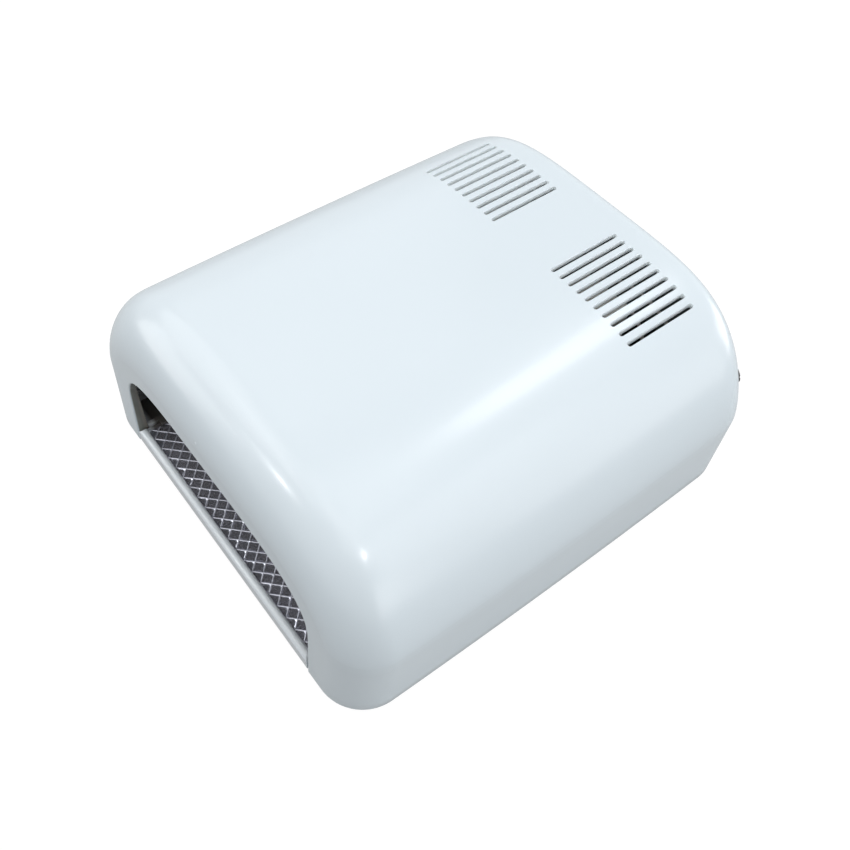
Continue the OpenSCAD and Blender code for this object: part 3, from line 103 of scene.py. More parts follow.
# Where the white mouldings in the opening carry painted shade, in dark brown tones
FLANGE_SHADE_Y = (0.6, 8.5)
TRAY_SHADE_X, TRAY_SHADE_Z = 71.0, 4.2
RAIL_SHADE_X, RAIL_SHADE_Y, RAIL_SHADE_Z = (69.0, 93.0), (9.0, 176.0), 2.4

# Where the coat of the tubes begins to look grey, near their seats
TUBE_SEAT_Y = 148.3

SIDES = (-1, 1)
# Angle from which an edge is shaded sharp
SHARP = math.radians(32)


def to_frame(points):
    return (np.asarray(points, float) - (0, MIDDLE_Y, -FOOT_H)) * MM


# Camera

def place_camera():
    """The view of the photo, fitted to the outline, the opening and the vents."""
    data = bpy.data.cameras.new("camera")
    data.lens = 39.18
    camera = bpy.data.objects.new("camera", data)
    scene.collection.objects.link(camera)
    right = Vector((0.613143, 0.788407, 0.049698))
    up = Vector((-0.648427, 0.466351, 0.601714))
    back = Vector((0.451219, -0.401162, 0.797164))
    turn = Matrix((right, up, back)).transposed().to_4x4()
    camera.matrix_world = Matrix.Translation((0.211773, -0.188894, 0.375039)) @ turn
    scene.camera = camera


# Shader sums

class Reading:
    """A socket, on which sums can be written."""

    def __init__(self, tree, socket):
        self.tree = tree
        self.socket = socket

    def sum(self, operation, *values, clamp=False):
        return self.tree.node("ShaderNodeMath", {"operation": operation, "use_clamp": clamp},
                              dict(enumerate(values)))

    def __add__(self, other):
        return self.sum("ADD", self, other)

    def __sub__(self, other):
        return self.sum("SUBTRACT", self, other)

    def __rsub__(self, other):
        return self.sum("SUBTRACT", other, self)

    def __mul__(self, other):
        return self.sum("MULTIPLY", self, other)

    def __pow__(self, other):
        return self.sum("POWER", self, other)

    def __rpow__(self, other):
        return self.sum("POWER", other, self)

    __radd__ = __add__
    __rmul__ = __mul__

    def unsigned(self):
        return self.sum("ABSOLUTE", self)

    def most(self, other):
        return self.sum("MAXIMUM", self, other)

    def wave(self, length):
        """0 to 1 and back once in every length."""
        return self.sum("SINE", self * (2 * math.pi / length)) * 0.5 + 0.5

    def above(self, level, softness):
        """0 under the level and 1 over it, with a soft step."""
        return self.sum("MULTIPLY", self - (level - softness / 2), 1 / softness, clamp=True)

    def below(self, level, softness):
        return 1 - self.above(level, softness)

    def between(self, low, high, softness):
        return self.above(low, softness) * self.below(high, softness)


class NodeTree:
    """The nodes of a material or of the world, all made by one method."""

    def __init__(self, owner):
        owner.use_nodes = True
        self.nodes = owner.node_tree.nodes
        self.links = owner.node_tree.links

    def node(self, kind, settings=None, sockets=None, output=0):
        made = self.nodes.new(kind)
        for key, value in (settings or {}).items():
            setattr(made, key, value)
        for key, value in (sockets or {}).items():
            if isinstance(value, Reading):
                self.links.new(value.socket, made.inputs[key])
            else:
                made.inputs[key].default_value = value
        return Reading(self, made.outputs[output])

    def feed(self, node_name, socket_name, reading):
        """Leads a reading into a socket of a node that is already there."""
        self.links.new(reading.socket, self.nodes[node_name].inputs[socket_name])


class Finish(NodeTree):
    """One material, built node by node round a principled shader."""

    SHADER = "Principled BSDF"

    def __init__(self, name, **sockets):
        self.material = bpy.data.materials.new(name)
        super().__init__(self.material)
        self.shader = self.nodes[self.SHADER]
        for key, value in sockets.items():
            socket = self.shader.inputs[key.replace("_", " ").title().replace("Ior", "IOR")]
            socket.default_value = (*value, 1) if isinstance(value, tuple) and len(value) == 3 else value
        self.place = self.node("ShaderNodeTexCoord", output="Object")

    def set(self, name, reading):
        self.feed(self.SHADER, name, reading)

    def noise(self, size, detail, stretch=(1, 1, 1)):
        """Soft noise whose blotches are about size millimetres wide."""
        scaled = self.node("ShaderNodeVectorMath", {"operation": "MULTIPLY"},
                           {0: self.place, 1: tuple(1 / s for s in stretch)})
        return self.node("ShaderNodeTexNoise", None,
                         {"Vector": scaled, "Scale": 1 / (size * MM), "Detail": detail})

    def axis(self, name):
        """One of the part's own coordinates in millimetres: X, Y or Z."""
        return self.node("ShaderNodeSeparateXYZ", None, {0: self.place}, output=name) * (1 / MM)

    def body_place(self):
        """The body's own x, y and z in millimetres."""
        return self.axis("X"), self.axis("Y") + MIDDLE_Y, self.axis("Z") - FOOT_H

    def blend(self, share, low, high):
        """From the colour low to the colour high."""
        sockets = {0: share}
        for key, colour in ((6, low), (7, high)):
            sockets[key] = colour if isinstance(colour, Reading) else (*colour, 1)
        return self.node("ShaderNodeMix", {"data_type": "RGBA"}, sockets, output=2)

    def relief(self, height, depth):
        """Bumps of depth millimetres where height goes from 0 to 1."""
        bump = self.node("ShaderNodeBump", None, {"Height": height, "Distance": depth * MM, "Strength": 1.0})
        self.set("Normal", bump)


def tinted(colour, factor):
    return tuple(min(1.0, c * factor) for c in colour)


# Finishes

# The share of painted shade over the white, its dark brown, and the flange's two tones of painted shade, from
# its edge inwards
PAINTED_SHADE_SHARE = 0.92
PAINTED_SHADE_BROWN = (0.1, 0.085, 0.072)
FLANGE_SHADE_TONES = ((0.2, 0.2, 0.165), (0.26, 0.24, 0.19))


def gloss_shell(name, colour):
    """Injection-moulded gloss plastic: even colour, faint flow marks and a light orange peel."""
    finish = Finish(name, specular_ior_level=0.5, coat_weight=0.3, coat_roughness=0.13)
    flow = finish.noise(55, 2)
    peel = finish.noise(2.6, 1)
    smear = finish.noise(18, 3, (1, 2.5, 1))
    finish.set("Roughness", smear * 0.07 + 0.22)
    finish.relief(peel, 0.004)
    return finish, finish.blend(flow, tinted(colour, 0.985), tinted(colour, 1.01))


def housing_white(name, colour):
    """The shell's gloss white, with painted shade in dark brown tones on the flange round the opening."""
    finish, tone = gloss_shell(name, colour)
    x, y, z = finish.body_place()
    depth = y - z * FRONT_LEAN
    in_mouth = depth.between(*FLANGE_SHADE_Y, 0.5) * x.unsigned().below(ARCH_W / 2 + 0.15, 0.1)
    in_mouth = in_mouth * z.below(ARCH_H + 0.3, 0.2)
    # Painted shade on the flange inside the opening, in two dark tones
    flange_shade = finish.blend(depth.above(3.2, 0.5), *FLANGE_SHADE_TONES)
    finish.set("Base Color", finish.blend(in_mouth * PAINTED_SHADE_SHARE, tone, flange_shade))
    return finish.material


def tray_white(name, colour):
    """The tray's gloss white, with painted shade in dark brown along its sides where it lies under the lamps.
    """
    finish, tone = gloss_shell(name, colour)
    x, y, z = finish.body_place()
    inside = y.above(6, 4) * x.unsigned().above(TRAY_SHADE_X, 0.4) * z.above(TRAY_SHADE_Z, 0.3)
    # Painted shade in dark brown on the tray's inner sides
    finish.set("Base Color", finish.blend(inside * PAINTED_SHADE_SHARE, tone, PAINTED_SHADE_BROWN))
    return finish.material


def shell_inside(name, colour):
    """The unpolished inside of the shell: matte, drag-marked and dusty, its white darkened to about a third
    as painted shade.
    """
    finish = Finish(name, specular_ior_level=0.3)
    dust = finish.noise(7, 5)
    drag = finish.noise(1.2, 2, (1, 1, 12))
    # Painted shade: the shell's white at a third to two fifths of its brightness, in dusty blotches
    finish.set("Base Color", finish.blend(dust, tinted(colour, 0.32), tinted(colour, 0.42)))
    finish.set("Roughness", drag * 0.2 + 0.55)
    finish.relief(drag, 0.02)
    return finish.material


def vent_walls(name, colour):
    """The unpolished walls of the vents, with the soft glow of light that soaks through the plastic."""
    finish = Finish(name, subsurface_weight=0.85, subsurface_scale=0.004, subsurface_radius=[1, 1, 1])
    drag = finish.noise(0.8, 2, (1, 1, 10))
    finish.set("Base Color", finish.blend(finish.noise(4, 3), tinted(colour, 0.97), colour))
    finish.set("Roughness", drag * 0.15 + 0.45)
    finish.relief(drag, 0.01)
    return finish.material


def satin(name, colour, roughness=0.42, grain=0.5, depth=0.012, tone=0.05):
    """Spark-textured moulded plastic with slightly uneven colour and handling marks."""
    finish = Finish(name)
    cloud = finish.noise(24, 3)
    texture = finish.noise(grain, 2)
    rub = finish.noise(6, 4, (1, 3, 1))
    finish.set("Roughness", rub * 0.16 + (roughness - 0.08))
    finish.relief(texture, depth)
    return finish, finish.blend(cloud, tinted(colour, 1 - tone), tinted(colour, 1 + tone))


def satin_moulding(name, colour, *grades):
    """A moulding all in one satin colour."""
    finish, tone = satin(name, colour, *grades)
    finish.set("Base Color", tone)
    return finish.material


def base_moulding(name, colour):
    """The base's satin white, with painted shade in dark brown on the rails beside the tray, which lie under
    the lamps.
    """
    finish, tone = satin(name, colour)
    x, y, z = finish.body_place()
    rails = x.unsigned().between(*RAIL_SHADE_X, 0.5) * y.between(*RAIL_SHADE_Y, 2)
    rails = rails * z.above(RAIL_SHADE_Z, 0.3)
    # Painted shade in dark brown on the rails
    finish.set("Base Color", finish.blend(rails * PAINTED_SHADE_SHARE, tone, PAINTED_SHADE_BROWN))
    return finish.material


def rolled_sheet(name, colour):
    """Bright rolled sheet: fine lines along the rolling direction and soft waves."""
    finish = Finish(name, metallic=1.0)
    lines = finish.noise(0.22, 2, (1, 60, 60))
    waves = finish.noise(30, 1)
    stain = finish.noise(11, 4)
    finish.set("Base Color", finish.blend(stain, tinted(colour, 0.94), colour))
    finish.set("Roughness", lines * 0.1 + stain * 0.08 + 0.11)
    finish.relief(lines * 0.15 + waves, 0.03)
    return finish.material


def mirror_emboss(name, colour):
    """Bright lacquered sheet, rubbed milky in patches along its raised ridges, with fine scratches."""
    finish = Finish(name)
    scratch = finish.noise(0.5, 3, (1, 18, 1)).above(0.62, 0.1)
    stain = finish.noise(9, 4)
    x, y, _ = finish.body_place()
    x, y = x - EMBOSS_AT[0], y - EMBOSS_AT[1]
    quarter = EMBOSS_PITCH / 4
    crossing = (x + y + quarter).wave(EMBOSS_PITCH).most((x - y + quarter).wave(EMBOSS_PITCH))
    ridge = crossing.above(0.955, 0.05)
    rubbed = ridge * finish.noise(3, 3).above(0.42, 0.3)
    finish.set("Base Color", finish.blend(stain, tinted(colour, 0.92), colour))
    finish.set("Metallic", 0.8 - ridge * 0.2 - rubbed * 0.3)
    finish.set("Roughness", scratch * 0.12 + stain * 0.08 + rubbed * 0.1 + 0.07)
    finish.relief(finish.noise(2.2, 2), 0.05)
    return finish.material


def zinc_plate(name, colour, roughness=0.32):
    """Zinc-plated steel: crystal-like clouding and a faint blue and yellow passivation tint."""
    finish = Finish(name, metallic=1.0)
    cloud = finish.noise(3.2, 4)
    tint = finish.noise(7, 2)
    tone = finish.blend(tint, tinted(colour, 0.96), (colour[0] * 1.03, colour[1], colour[2] * 0.93))
    finish.set("Base Color", tone)
    finish.set("Roughness", cloud * 0.2 + (roughness - 0.1))
    finish.relief(cloud, 0.012)
    return finish.material


def black_rubber(name, colour):
    """Matte rubber with a fine grain and dust in it."""
    finish = Finish(name, specular_ior_level=0.35)
    grain = finish.noise(0.35, 3)
    dust = finish.noise(4, 5).above(0.55, 0.35)
    finish.set("Base Color", finish.blend(dust * 0.5, colour, tinted(colour, 2.6)))
    finish.set("Roughness", grain * 0.15 + 0.68)
    finish.relief(grain, 0.03)
    return finish.material


def milky_tube(name, colour):
    """Glass with its phosphor coat inside: even and milky, thinner and greyer at the two ends."""
    finish = Finish(name, coat_weight=1.0, coat_roughness=0.03, specular_ior_level=0.5, roughness=0.3)
    _, y, _ = finish.body_place()
    coat = finish.noise(5, 3)
    near_seat = y.above(TUBE_SEAT_Y, 12)
    tone = finish.blend(coat, tinted(colour, 0.97), colour)
    finish.set("Base Color", finish.blend(near_seat * 0.55, tone, (0.42, 0.4, 0.44)))
    finish.relief(finish.noise(6, 1), 0.01)
    return finish.material


def turned_brass(name, colour):
    """Turned brass: fine rings round the pin and a darker bloom."""
    finish = Finish(name, metallic=1.0)
    rings = finish.axis("Y").wave(0.12)
    bloom = finish.noise(1.2, 3)
    finish.set("Base Color", finish.blend(bloom, tinted(colour, 0.8), colour))
    finish.set("Roughness", bloom * 0.16 + 0.18)
    finish.relief(rings, 0.004)
    return finish.material


def laminations(name, colour):
    """A stack of half-millimetre steel sheets under brown-black varnish."""
    finish = Finish(name, metallic=0.75, coat_weight=0.5, coat_roughness=0.2)
    edges = finish.axis("Z").wave(0.5)
    varnish = finish.noise(3, 4)
    tone = finish.blend(edges, tinted(colour, 0.55), tinted(colour, 1.25))
    finish.set("Base Color", finish.blend(varnish * 0.6, tone, (0.09, 0.06, 0.045)))
    finish.set("Roughness", varnish * 0.3 + 0.3)
    finish.relief(edges + varnish * 0.4, 0.05)
    return finish.material


def taped_winding(name, colour, pitch=0.42):
    """Lacquered wire laid side by side under a glossy amber tape."""
    finish = Finish(name, coat_weight=0.8, coat_roughness=0.12)
    turns = finish.axis("X").wave(pitch)
    wrap = finish.noise(5, 3)
    tone = finish.blend(turns, tinted(colour, 0.45), tinted(colour, 1.2))
    finish.set("Base Color", finish.blend(wrap * 0.5, tone, (0.62, 0.38, 0.1)))
    finish.set("Roughness", wrap * 0.2 + 0.28)
    finish.relief(turns + wrap * 0.5, 0.08)
    return finish.material


def circuit_board(name, colour):
    """Solder mask over copper tracks, with the glass weave just showing."""
    finish = Finish(name, coat_weight=0.4, coat_roughness=0.15)
    cells = finish.node("ShaderNodeTexVoronoi", {"feature": "DISTANCE_TO_EDGE", "distance": "MANHATTAN"},
                        {"Vector": finish.place, "Scale": 260.0})
    tracks = 1 - cells.above(0.05, 0.03)
    weave = finish.axis("X").wave(0.5) * finish.axis("Z").wave(0.5)
    tone = finish.blend(weave, tinted(colour, 0.8), tinted(colour, 1.15))
    finish.set("Base Color", finish.blend(tracks * 0.6, tone, (0.2, 0.42, 0.18)))
    finish.set("Roughness", weave * 0.12 + 0.28)
    finish.relief(tracks + weave * 0.15, 0.035)
    return finish.material


def make_finishes():
    white = (0.775, 0.865, 0.925)
    return {
        "shell_white": housing_white("shell_white", white),
        "tray": tray_white("tray_white", (0.86, 0.92, 0.97)),
        "shell_inside": shell_inside("shell_inside", white),
        # Painted light: the vents' walls are a lighter, bluer copy of the shell's white
        "vent_walls": vent_walls("vent_walls", (0.86, 0.95, 1.0)),
        "base_white": base_moulding("base_white", (0.83, 0.86, 0.87)),
        "foot_rubber": black_rubber("foot_rubber", (0.03, 0.03, 0.033)),
        "zinc": zinc_plate("zinc", (0.72, 0.73, 0.75)),
        "bright_sheet": rolled_sheet("bright_sheet", (0.66, 0.65, 0.65)),
        # Painted shade: the arch's rolled sheet darkened to a dim brown
        "reflector_arch": rolled_sheet("shade_darkened_sheet", (0.42, 0.375, 0.335)),
        "embossed_sheet": mirror_emboss("embossed_sheet", (0.76, 0.78, 0.88)),
        "tube_glass": milky_tube("tube_glass", (0.86, 0.85, 0.94)),
        "holder_white": satin_moulding("holder_white", (0.84, 0.82, 0.76), 0.5, 0.4, 0.015),
        "pin_brass": turned_brass("pin_brass", (0.8, 0.62, 0.3)),
        "spring_steel": zinc_plate("spring_steel", (0.78, 0.79, 0.8), 0.18),
        "core_iron": laminations("core_iron", (0.2, 0.21, 0.23)),
        "winding": taped_winding("winding", (0.45, 0.2, 0.07)),
        "board_green": circuit_board("board_green", (0.03, 0.2, 0.09)),
        "relay_blue": satin_moulding("relay_blue", (0.06, 0.2, 0.58), 0.3, 0.3, 0.006, 0.08),
        "part_black": satin_moulding("part_black", (0.035, 0.035, 0.042), 0.4, 0.3, 0.01, 0.2),
        "terminal_green": satin_moulding("terminal_green", (0.07, 0.36, 0.17), 0.4, 0.35, 0.012, 0.08),
        "control_black": satin_moulding("control_black", (0.022, 0.022, 0.025), 0.3, 0.35, 0.008, 0.2),
        "button_green": satin_moulding("button_green", (0.06, 0.42, 0.14), 0.2, 0.3, 0.004, 0.08),
        "wire_white": satin_moulding("wire_white", (0.8, 0.78, 0.73), 0.45, 0.8, 0.02, 0.06),
    }


# Mesh helpers

def mesh_object(name, points, faces):
    """A mesh from points in the part's own frame."""
    mesh = bpy.data.meshes.new(name)
    mesh.from_pydata([tuple(p) for p in points], [], [tuple(int(i) for i in f) for f in faces])
    mesh.validate()
    piece = bpy.data.objects.new(name, mesh)
    scene.collection.objects.link(piece)
    return piece


def outward(piece):
    """Turns all faces outwards."""
    work = bmesh.new()
    work.from_mesh(piece.data)
    bmesh.ops.recalc_face_normals(work, faces=work.faces)
    work.to_mesh(piece.data)
    work.free()
    return piece


def stack(rings):
    """A closed solid through rings of as many points each, in body millimetres."""
    n = len(rings[0])
    faces = [(k * n + j, k * n + (j + 1) % n, (k + 1) * n + (j + 1) % n, (k + 1) * n + j)
             for k in range(len(rings) - 1) for j in range(n)]
    faces += [tuple(range(n))[::-1], tuple(range((len(rings) - 1) * n, len(rings) * n))]
    return to_frame(np.concatenate(rings)), faces


def carve(piece, cutter):
    """Cuts the cutter out of the piece and removes the cutter."""
    step = piece.modifiers.new("carve", "BOOLEAN")
    step.operation = "DIFFERENCE"
    step.object = cutter
    step.solver = "MANIFOLD"
    shape = bpy.data.meshes.new_from_object(piece.evaluated_get(bpy.context.evaluated_depsgraph_get()))
    piece.modifiers.clear()
    spent = (piece.data, cutter.data)
    piece.data = shape
    bpy.data.objects.remove(cutter)
    for mesh in spent:
        bpy.data.meshes.remove(mesh)


node_body = {n: body for body, names in frame["record"]["behaviour"]["bodies"].items() for n in names}
node_slot = {p["node"]: p["material_slot"] for p in frame["record"]["subparts"]}


def stand_for(piece, node, finishes):
    """The piece takes the place, the finish and the body of a node."""
    piece.data.materials.clear()
    piece.data.materials.append(finishes.get(node) or finishes[node_slot[node]])
    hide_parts(node)
    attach(piece, node_body[node])


def refined(node, finishes, edge=0.2, segments=2):
    """The node's own solid with its flat faces whole and its edges rounded by edge millimetres."""
    work = bmesh.new()
    work.from_mesh(frame["nodes"][node].data)
    bmesh.ops.remove_doubles(work, verts=work.verts, dist=0.001 * MM)
    bmesh.ops.dissolve_limit(work, angle_limit=math.radians(0.4), verts=work.verts, edges=work.edges,
                             delimit=set())
    bmesh.ops.recalc_face_normals(work, faces=work.faces)
    mesh = bpy.data.meshes.new(node + "_piece")
    work.to_mesh(mesh)
    work.free()
    mesh.shade_smooth()
    mesh.set_sharp_from_angle(angle=SHARP)
    piece = bpy.data.objects.new(node + "_piece", mesh)
    scene.collection.objects.link(piece)
    rounding = piece.modifiers.new("edges", "BEVEL")
    rounding.width = edge * MM
    rounding.segments = segments
    rounding.limit_method = "ANGLE"
    rounding.angle_limit = math.radians(35)
    rounding.harden_normals = True
    stand_for(piece, node, finishes)


# The moulded housing

def rounding(d, r, power):
    d = np.clip(d, 0, r)
    return r * (1 - (1 - (1 - d / r) ** power) ** (1 / power))


def side_x(y, t):
    bow = SIDE_BOW * (2 * y / BODY_D - 1) ** 2
    return (BODY_W / 2 - t - bow - rounding(y - t, FRONT_CORNER_R - t, 2)
            - rounding(BODY_D - t - y, REAR_CORNER_R - t, REAR_POWER))


def crown_z(y, t):
    top = (BODY_H - t + TOP_RISE * (2 * y / BODY_D - 1) - rounding(y - t, FRONT_TOP_R - t, 2)
           - rounding(BODY_D - t - y, REAR_TOP_R - t, REAR_POWER))
    return np.minimum(top, ROOF_LIMIT - t)


def lean(x, y, z):
    s = y / BODY_D
    u = (2 * x / BODY_W) ** 2
    return np.stack([x, y + z * (FRONT_LEAN * (1 - s) - REAR_LEAN * s) - u * REAR_BOW * s, z + 0 * x], -1)


def even_angles(n, half_w=105.0, rise=52.0):
    """Angles that space a quarter of the roof's section evenly."""
    a = np.linspace(0, math.pi / 2, 4000)
    x = half_w * np.cos(a) ** (2 / SHOULDER_POWER)
    z = rise * np.sin(a) ** (2 / CROWN_POWER)
    run = np.concatenate([[0], np.cumsum(np.hypot(np.diff(x), np.diff(z)))])
    return np.interp(np.linspace(0, run[-1], n + 1), run, a)


def half_section(y, t, z0, angles, foot_r, skirt_n):
    """Right half of a section from the foot up to the top of the roof: x and z."""
    w = side_x(y, t)
    h = crown_z(y, t) - BELT_H
    bend = []
    if foot_r:
        bend = [(w - DRAFT * (BELT_H - z0) - foot_r * (1 - math.sin(a)), z0 + foot_r * (1 - math.cos(a)))
                for a in (0, math.pi / 6, math.pi / 3)]
    skirt = [(w - DRAFT * (BELT_H - z), z) for z in np.linspace(z0 + foot_r, BELT_H, skirt_n + 1)[:-1]]
    roof = [(w * math.cos(a) ** (2 / SHOULDER_POWER) if a < math.pi / 2 - 1e-9 else 0,
             BELT_H + h * math.sin(a) ** (2 / CROWN_POWER)) for a in angles]
    return np.array(bend + skirt + roof)


def stations(t, front_n, middle_n, rear_n):
    front = t + (FRONT_TOP_R - t) * (1 - np.cos(np.linspace(0, math.pi / 2, front_n + 1)))
    rear = BODY_D - t - (REAR_CORNER_R - t) * (1 - np.cos(np.linspace(math.pi / 2, 0, rear_n + 1)))
    middle = np.linspace(front[-1], rear[0], middle_n + 1)[1:-1]
    return np.concatenate([front, middle, rear])


def loft(t, z0, section_n, foot_r, counts, columns, skirt_n):
    """The closed surface that lies t inside the outer one."""
    ys = stations(t, *counts)
    angles = even_angles(section_n)
    halves = [half_section(y, t, z0, angles, foot_r, skirt_n) for y in ys]
    half_n = len(halves[0])
    arch_n = 2 * half_n - 1
    ring_n = arch_n + columns - 1
    across = 1 - 2 * np.arange(1, columns) / columns
    points, faces = [], []
    for y, half in zip(ys, halves):
        right = lean(half[:, 0], np.full(half_n, y), half[:, 1])
        left = right[-2::-1] * (-1, 1, 1)
        below = lean(half[0, 0] * -across, np.full(columns - 1, y), np.full(columns - 1, half[0, 1]))
        points += [*right, *left, *below]
    for k in range(len(ys) - 1):
        for j in range(ring_n):
            a, b = k * ring_n + j, k * ring_n + (j + 1) % ring_n
            faces.append((a, b, b + ring_n, a + ring_n))
    for end, y in ((0, ys[0]), (len(ys) - 1, ys[-1])):
        half = halves[end]
        first = end * ring_n
        rows = [[first, *range(first + ring_n - 1, first + arch_n - 1, -1), first + arch_n - 1]]
        for j in range(1, half_n - 1):
            row = lean(half[j, 0] * across, np.full(columns - 1, y), np.full(columns - 1, half[j, 1]))
            start = len(points)
            points += [*row]
            rows.append([first + j, *range(start, start + columns - 1), first + arch_n - 1 - j])
        top = first + half_n - 1
        for low, high in zip(rows, rows[1:]):
            for i in range(columns):
                quad = (low[i], low[i + 1], high[i + 1], high[i])
                faces.append(quad if end == 0 else quad[::-1])
        for i in range(columns):
            fan = (rows[-1][i], rows[-1][i + 1], top)
            faces.append(fan if end == 0 else fan[::-1])
    return to_frame(points), faces


def grown(outline, offset):
    """A closed counter-clockwise outline moved outwards."""
    p = np.asarray(outline, float)
    ahead, behind = np.roll(p, -1, 0) - p, p - np.roll(p, 1, 0)
    na = np.stack([ahead[:, 1], -ahead[:, 0]], -1) / np.linalg.norm(ahead, axis=1)[:, None]
    nb = np.stack([behind[:, 1], -behind[:, 0]], -1) / np.linalg.norm(behind, axis=1)[:, None]
    n = na + nb
    n *= 2 / (n * n).sum(1)[:, None]
    return p + offset * n


def arch_outline(more, n=96):
    a = np.linspace(0, math.pi, n + 1)
    c, s = np.cos(a), np.sin(a)
    x = np.sign(c) * (ARCH_W / 2 + more) * np.abs(c) ** (2 / ARCH_POWER_X)
    z = ARCH_SPRING + (ARCH_H + more - ARCH_SPRING) * np.clip(s, 0, 1) ** (2 / ARCH_POWER_Z)
    side = np.linspace(-3, ARCH_SPRING, 9)[:-1]
    return np.concatenate([
        np.stack([np.full(8, ARCH_W / 2 + more), side], -1),
        np.stack([x, z], -1),
        np.stack([np.full(8, -ARCH_W / 2 - more), side[::-1]], -1)])


def stadium(x, y0, length, width, ends=10, sides=14):
    r = width / 2
    a = np.linspace(0, math.pi, ends + 1)
    along = np.linspace(y0 + r, y0 + length - r, sides + 1)[1:-1]
    return np.concatenate([
        np.stack([np.full(sides - 1, x + r), along], -1),
        np.stack([x + r * np.cos(a), y0 + length - r + r * np.sin(a)], -1),
        np.stack([np.full(sides - 1, x - r), along[::-1]], -1),
        np.stack([x - r * np.cos(a), y0 + r - r * np.sin(a)], -1)])


def round_rect(w, h, r, corner_n=6, side_n=1):
    """Outline of a rounded rectangle, with its long sides in side_n parts."""
    corners = ((w / 2 - r, h / 2 - r, 0), (r - w / 2, h / 2 - r, 90),
               (r - w / 2, r - h / 2, 180), (w / 2 - r, r - h / 2, 270))
    p = np.array([(cx + r * math.cos(a), cz + r * math.sin(a)) for cx, cz, start in corners
                  for a in np.radians(start + np.linspace(0, 90, corner_n + 1))])
    out = []
    for a, b in zip(p, np.roll(p, -1, 0)):
        parts = side_n if np.linalg.norm(b - a) > 3 * r else 1
        out += [a + (b - a) * k / parts for k in range(parts)]
    return np.array(out)


def circle(x, z, r, n=40):
    a = np.linspace(0, 2 * math.pi, n, endpoint=False)
    return np.stack([x + r * np.cos(a), z + r * np.sin(a)], -1)


def roof_z(x, y):
    """Height of the roof over a point."""
    z = np.full_like(x, BODY_H)
    u = (2 * x / BODY_W) ** 2
    for _ in range(25):
        at = y.copy()
        for _ in range(6):
            s = at / BODY_D
            at = y - z * (FRONT_LEAN * (1 - s) - REAR_LEAN * s) + u * REAR_BOW * s
        w, h = side_x(at, 0), crown_z(at, 0) - BELT_H
        z = BELT_H + h * (1 - np.clip(np.abs(x) / w, 0, 1) ** SHOULDER_POWER) ** (1 / CROWN_POWER)
    return z


def rear_y(x, z):
    """Depth of the rear face behind a point of the control panel."""
    low, high = np.full_like(x, BODY_D - 22.0), np.full_like(x, BODY_D)
    for _ in range(40):
        at = (low + high) / 2
        inside = side_x(at, 0) - DRAFT * (BELT_H - np.minimum(z, BELT_H)) > np.abs(x)
        low, high = np.where(inside, at, low), np.where(inside, high, at)
    return lean(x, high, z)[..., 1]


def edge_rings(outline, r, steps=4):
    """Rings that round an edge with radius r, and their depths from the face inwards."""
    for k in range(steps + 1):
        a = math.pi / 2 * k / steps
        yield grown(outline, r * (1 - math.sin(a))), r * (1 - math.cos(a))


def slot_cutter(i, side, r=0.3):
    outline = stadium(side * (VENT_FIRST_X + i * VENT_PITCH), VENT_FRONT_Y, VENT_LEN, VENT_W)
    rings = []
    for ring, depth in edge_rings(outline, r):
        z = roof_z(ring[:, 0], ring[:, 1])
        if not rings:
            rings.append(np.column_stack([ring, z + 3]))
        rings.append(np.column_stack([ring, z - depth]))
    rings.append(np.column_stack([outline, np.full(len(outline), BELT_H + 10)]))
    return stack(rings[::-1])


def arch_cutter(r=0.8):
    outline = arch_outline(0)
    rings = []
    for ring, depth in edge_rings(outline, r, 6):
        y = ring[:, 1] * FRONT_LEAN
        if not rings:
            rings.append(np.column_stack([ring[:, 0], y - 3, ring[:, 1]]))
        rings.append(np.column_stack([ring[:, 0], y + depth, ring[:, 1]]))
    rings.append(np.column_stack([outline[:, 0], np.full(len(outline), RIM_DEPTH + 3), outline[:, 1]]))
    return stack(rings)


def recess_cutter(r=0.6):
    outline = round_rect(2 * PANEL_HALF_W, 2 * PANEL_HALF_H, PANEL_CORNER_R, 6, 24) + (0, CONTROL_Z)
    rings = []
    for ring, depth in edge_rings(outline, r):
        y = rear_y(ring[:, 0], ring[:, 1])
        if not rings:
            rings.append(np.column_stack([ring[:, 0], y + 8, ring[:, 1]]))
        rings.append(np.column_stack([ring[:, 0], y - depth, ring[:, 1]]))
    rings.append(np.column_stack([outline[:, 0], np.full(len(outline), PANEL_Y), outline[:, 1]]))
    return stack(rings)


def prism_y(outline, y0, y1):
    """An outline in x and z drawn out along y."""
    return stack([np.column_stack([outline[:, 0], np.full(len(outline), y), outline[:, 1]])
                  for y in (y0, y1)])


def prism_z(outline, z0, z1):
    """An outline in x and y drawn out along z."""
    return stack([np.column_stack([outline, np.full(len(outline), z)]) for z in (z0, z1)])


def tool(shape):
    return outward(mesh_object("tool", *shape))


# Millimetres within which a point counts as on the uncut surface, and on its front or back face
ON_SURFACE, ON_FACE = 0.003, 0.004
# The order of the shell's materials
OUTSIDE, CAVITY, VENT_WALL = 0, 1, 2
# How deep under the uncut surface the wall of a vent begins, past its rounded edge
CUT_DEPTH = 0.35


def end_normal(place):
    """Normal of the leaning front or of the bowed back for a point on one of them."""
    x, y, z = place / MM + Vector((0, MIDDLE_Y, -FOOT_H))
    bow = (2 * x / BODY_W) ** 2 * REAR_BOW
    if y < z * FRONT_LEAN + ON_FACE:
        return Vector((0, -1, FRONT_LEAN))
    if y > BODY_D - z * REAR_LEAN - bow - ON_FACE:
        return Vector((8 * x / BODY_W ** 2 * REAR_BOW, 1, REAR_LEAN))
    return None


def shell_material(face, depths):
    """The cavity lies a wall's thickness under the uncut surface; the vents' walls end on that surface."""
    reach = [depths[i] for i in face.vertices]
    if min(reach) > (WALL - 0.15) * MM:
        return CAVITY
    if max(reach) > CUT_DEPTH * MM and face.center.z > (ARCH_H + 5 + FOOT_H) * MM:
        return VENT_WALL
    return OUTSIDE


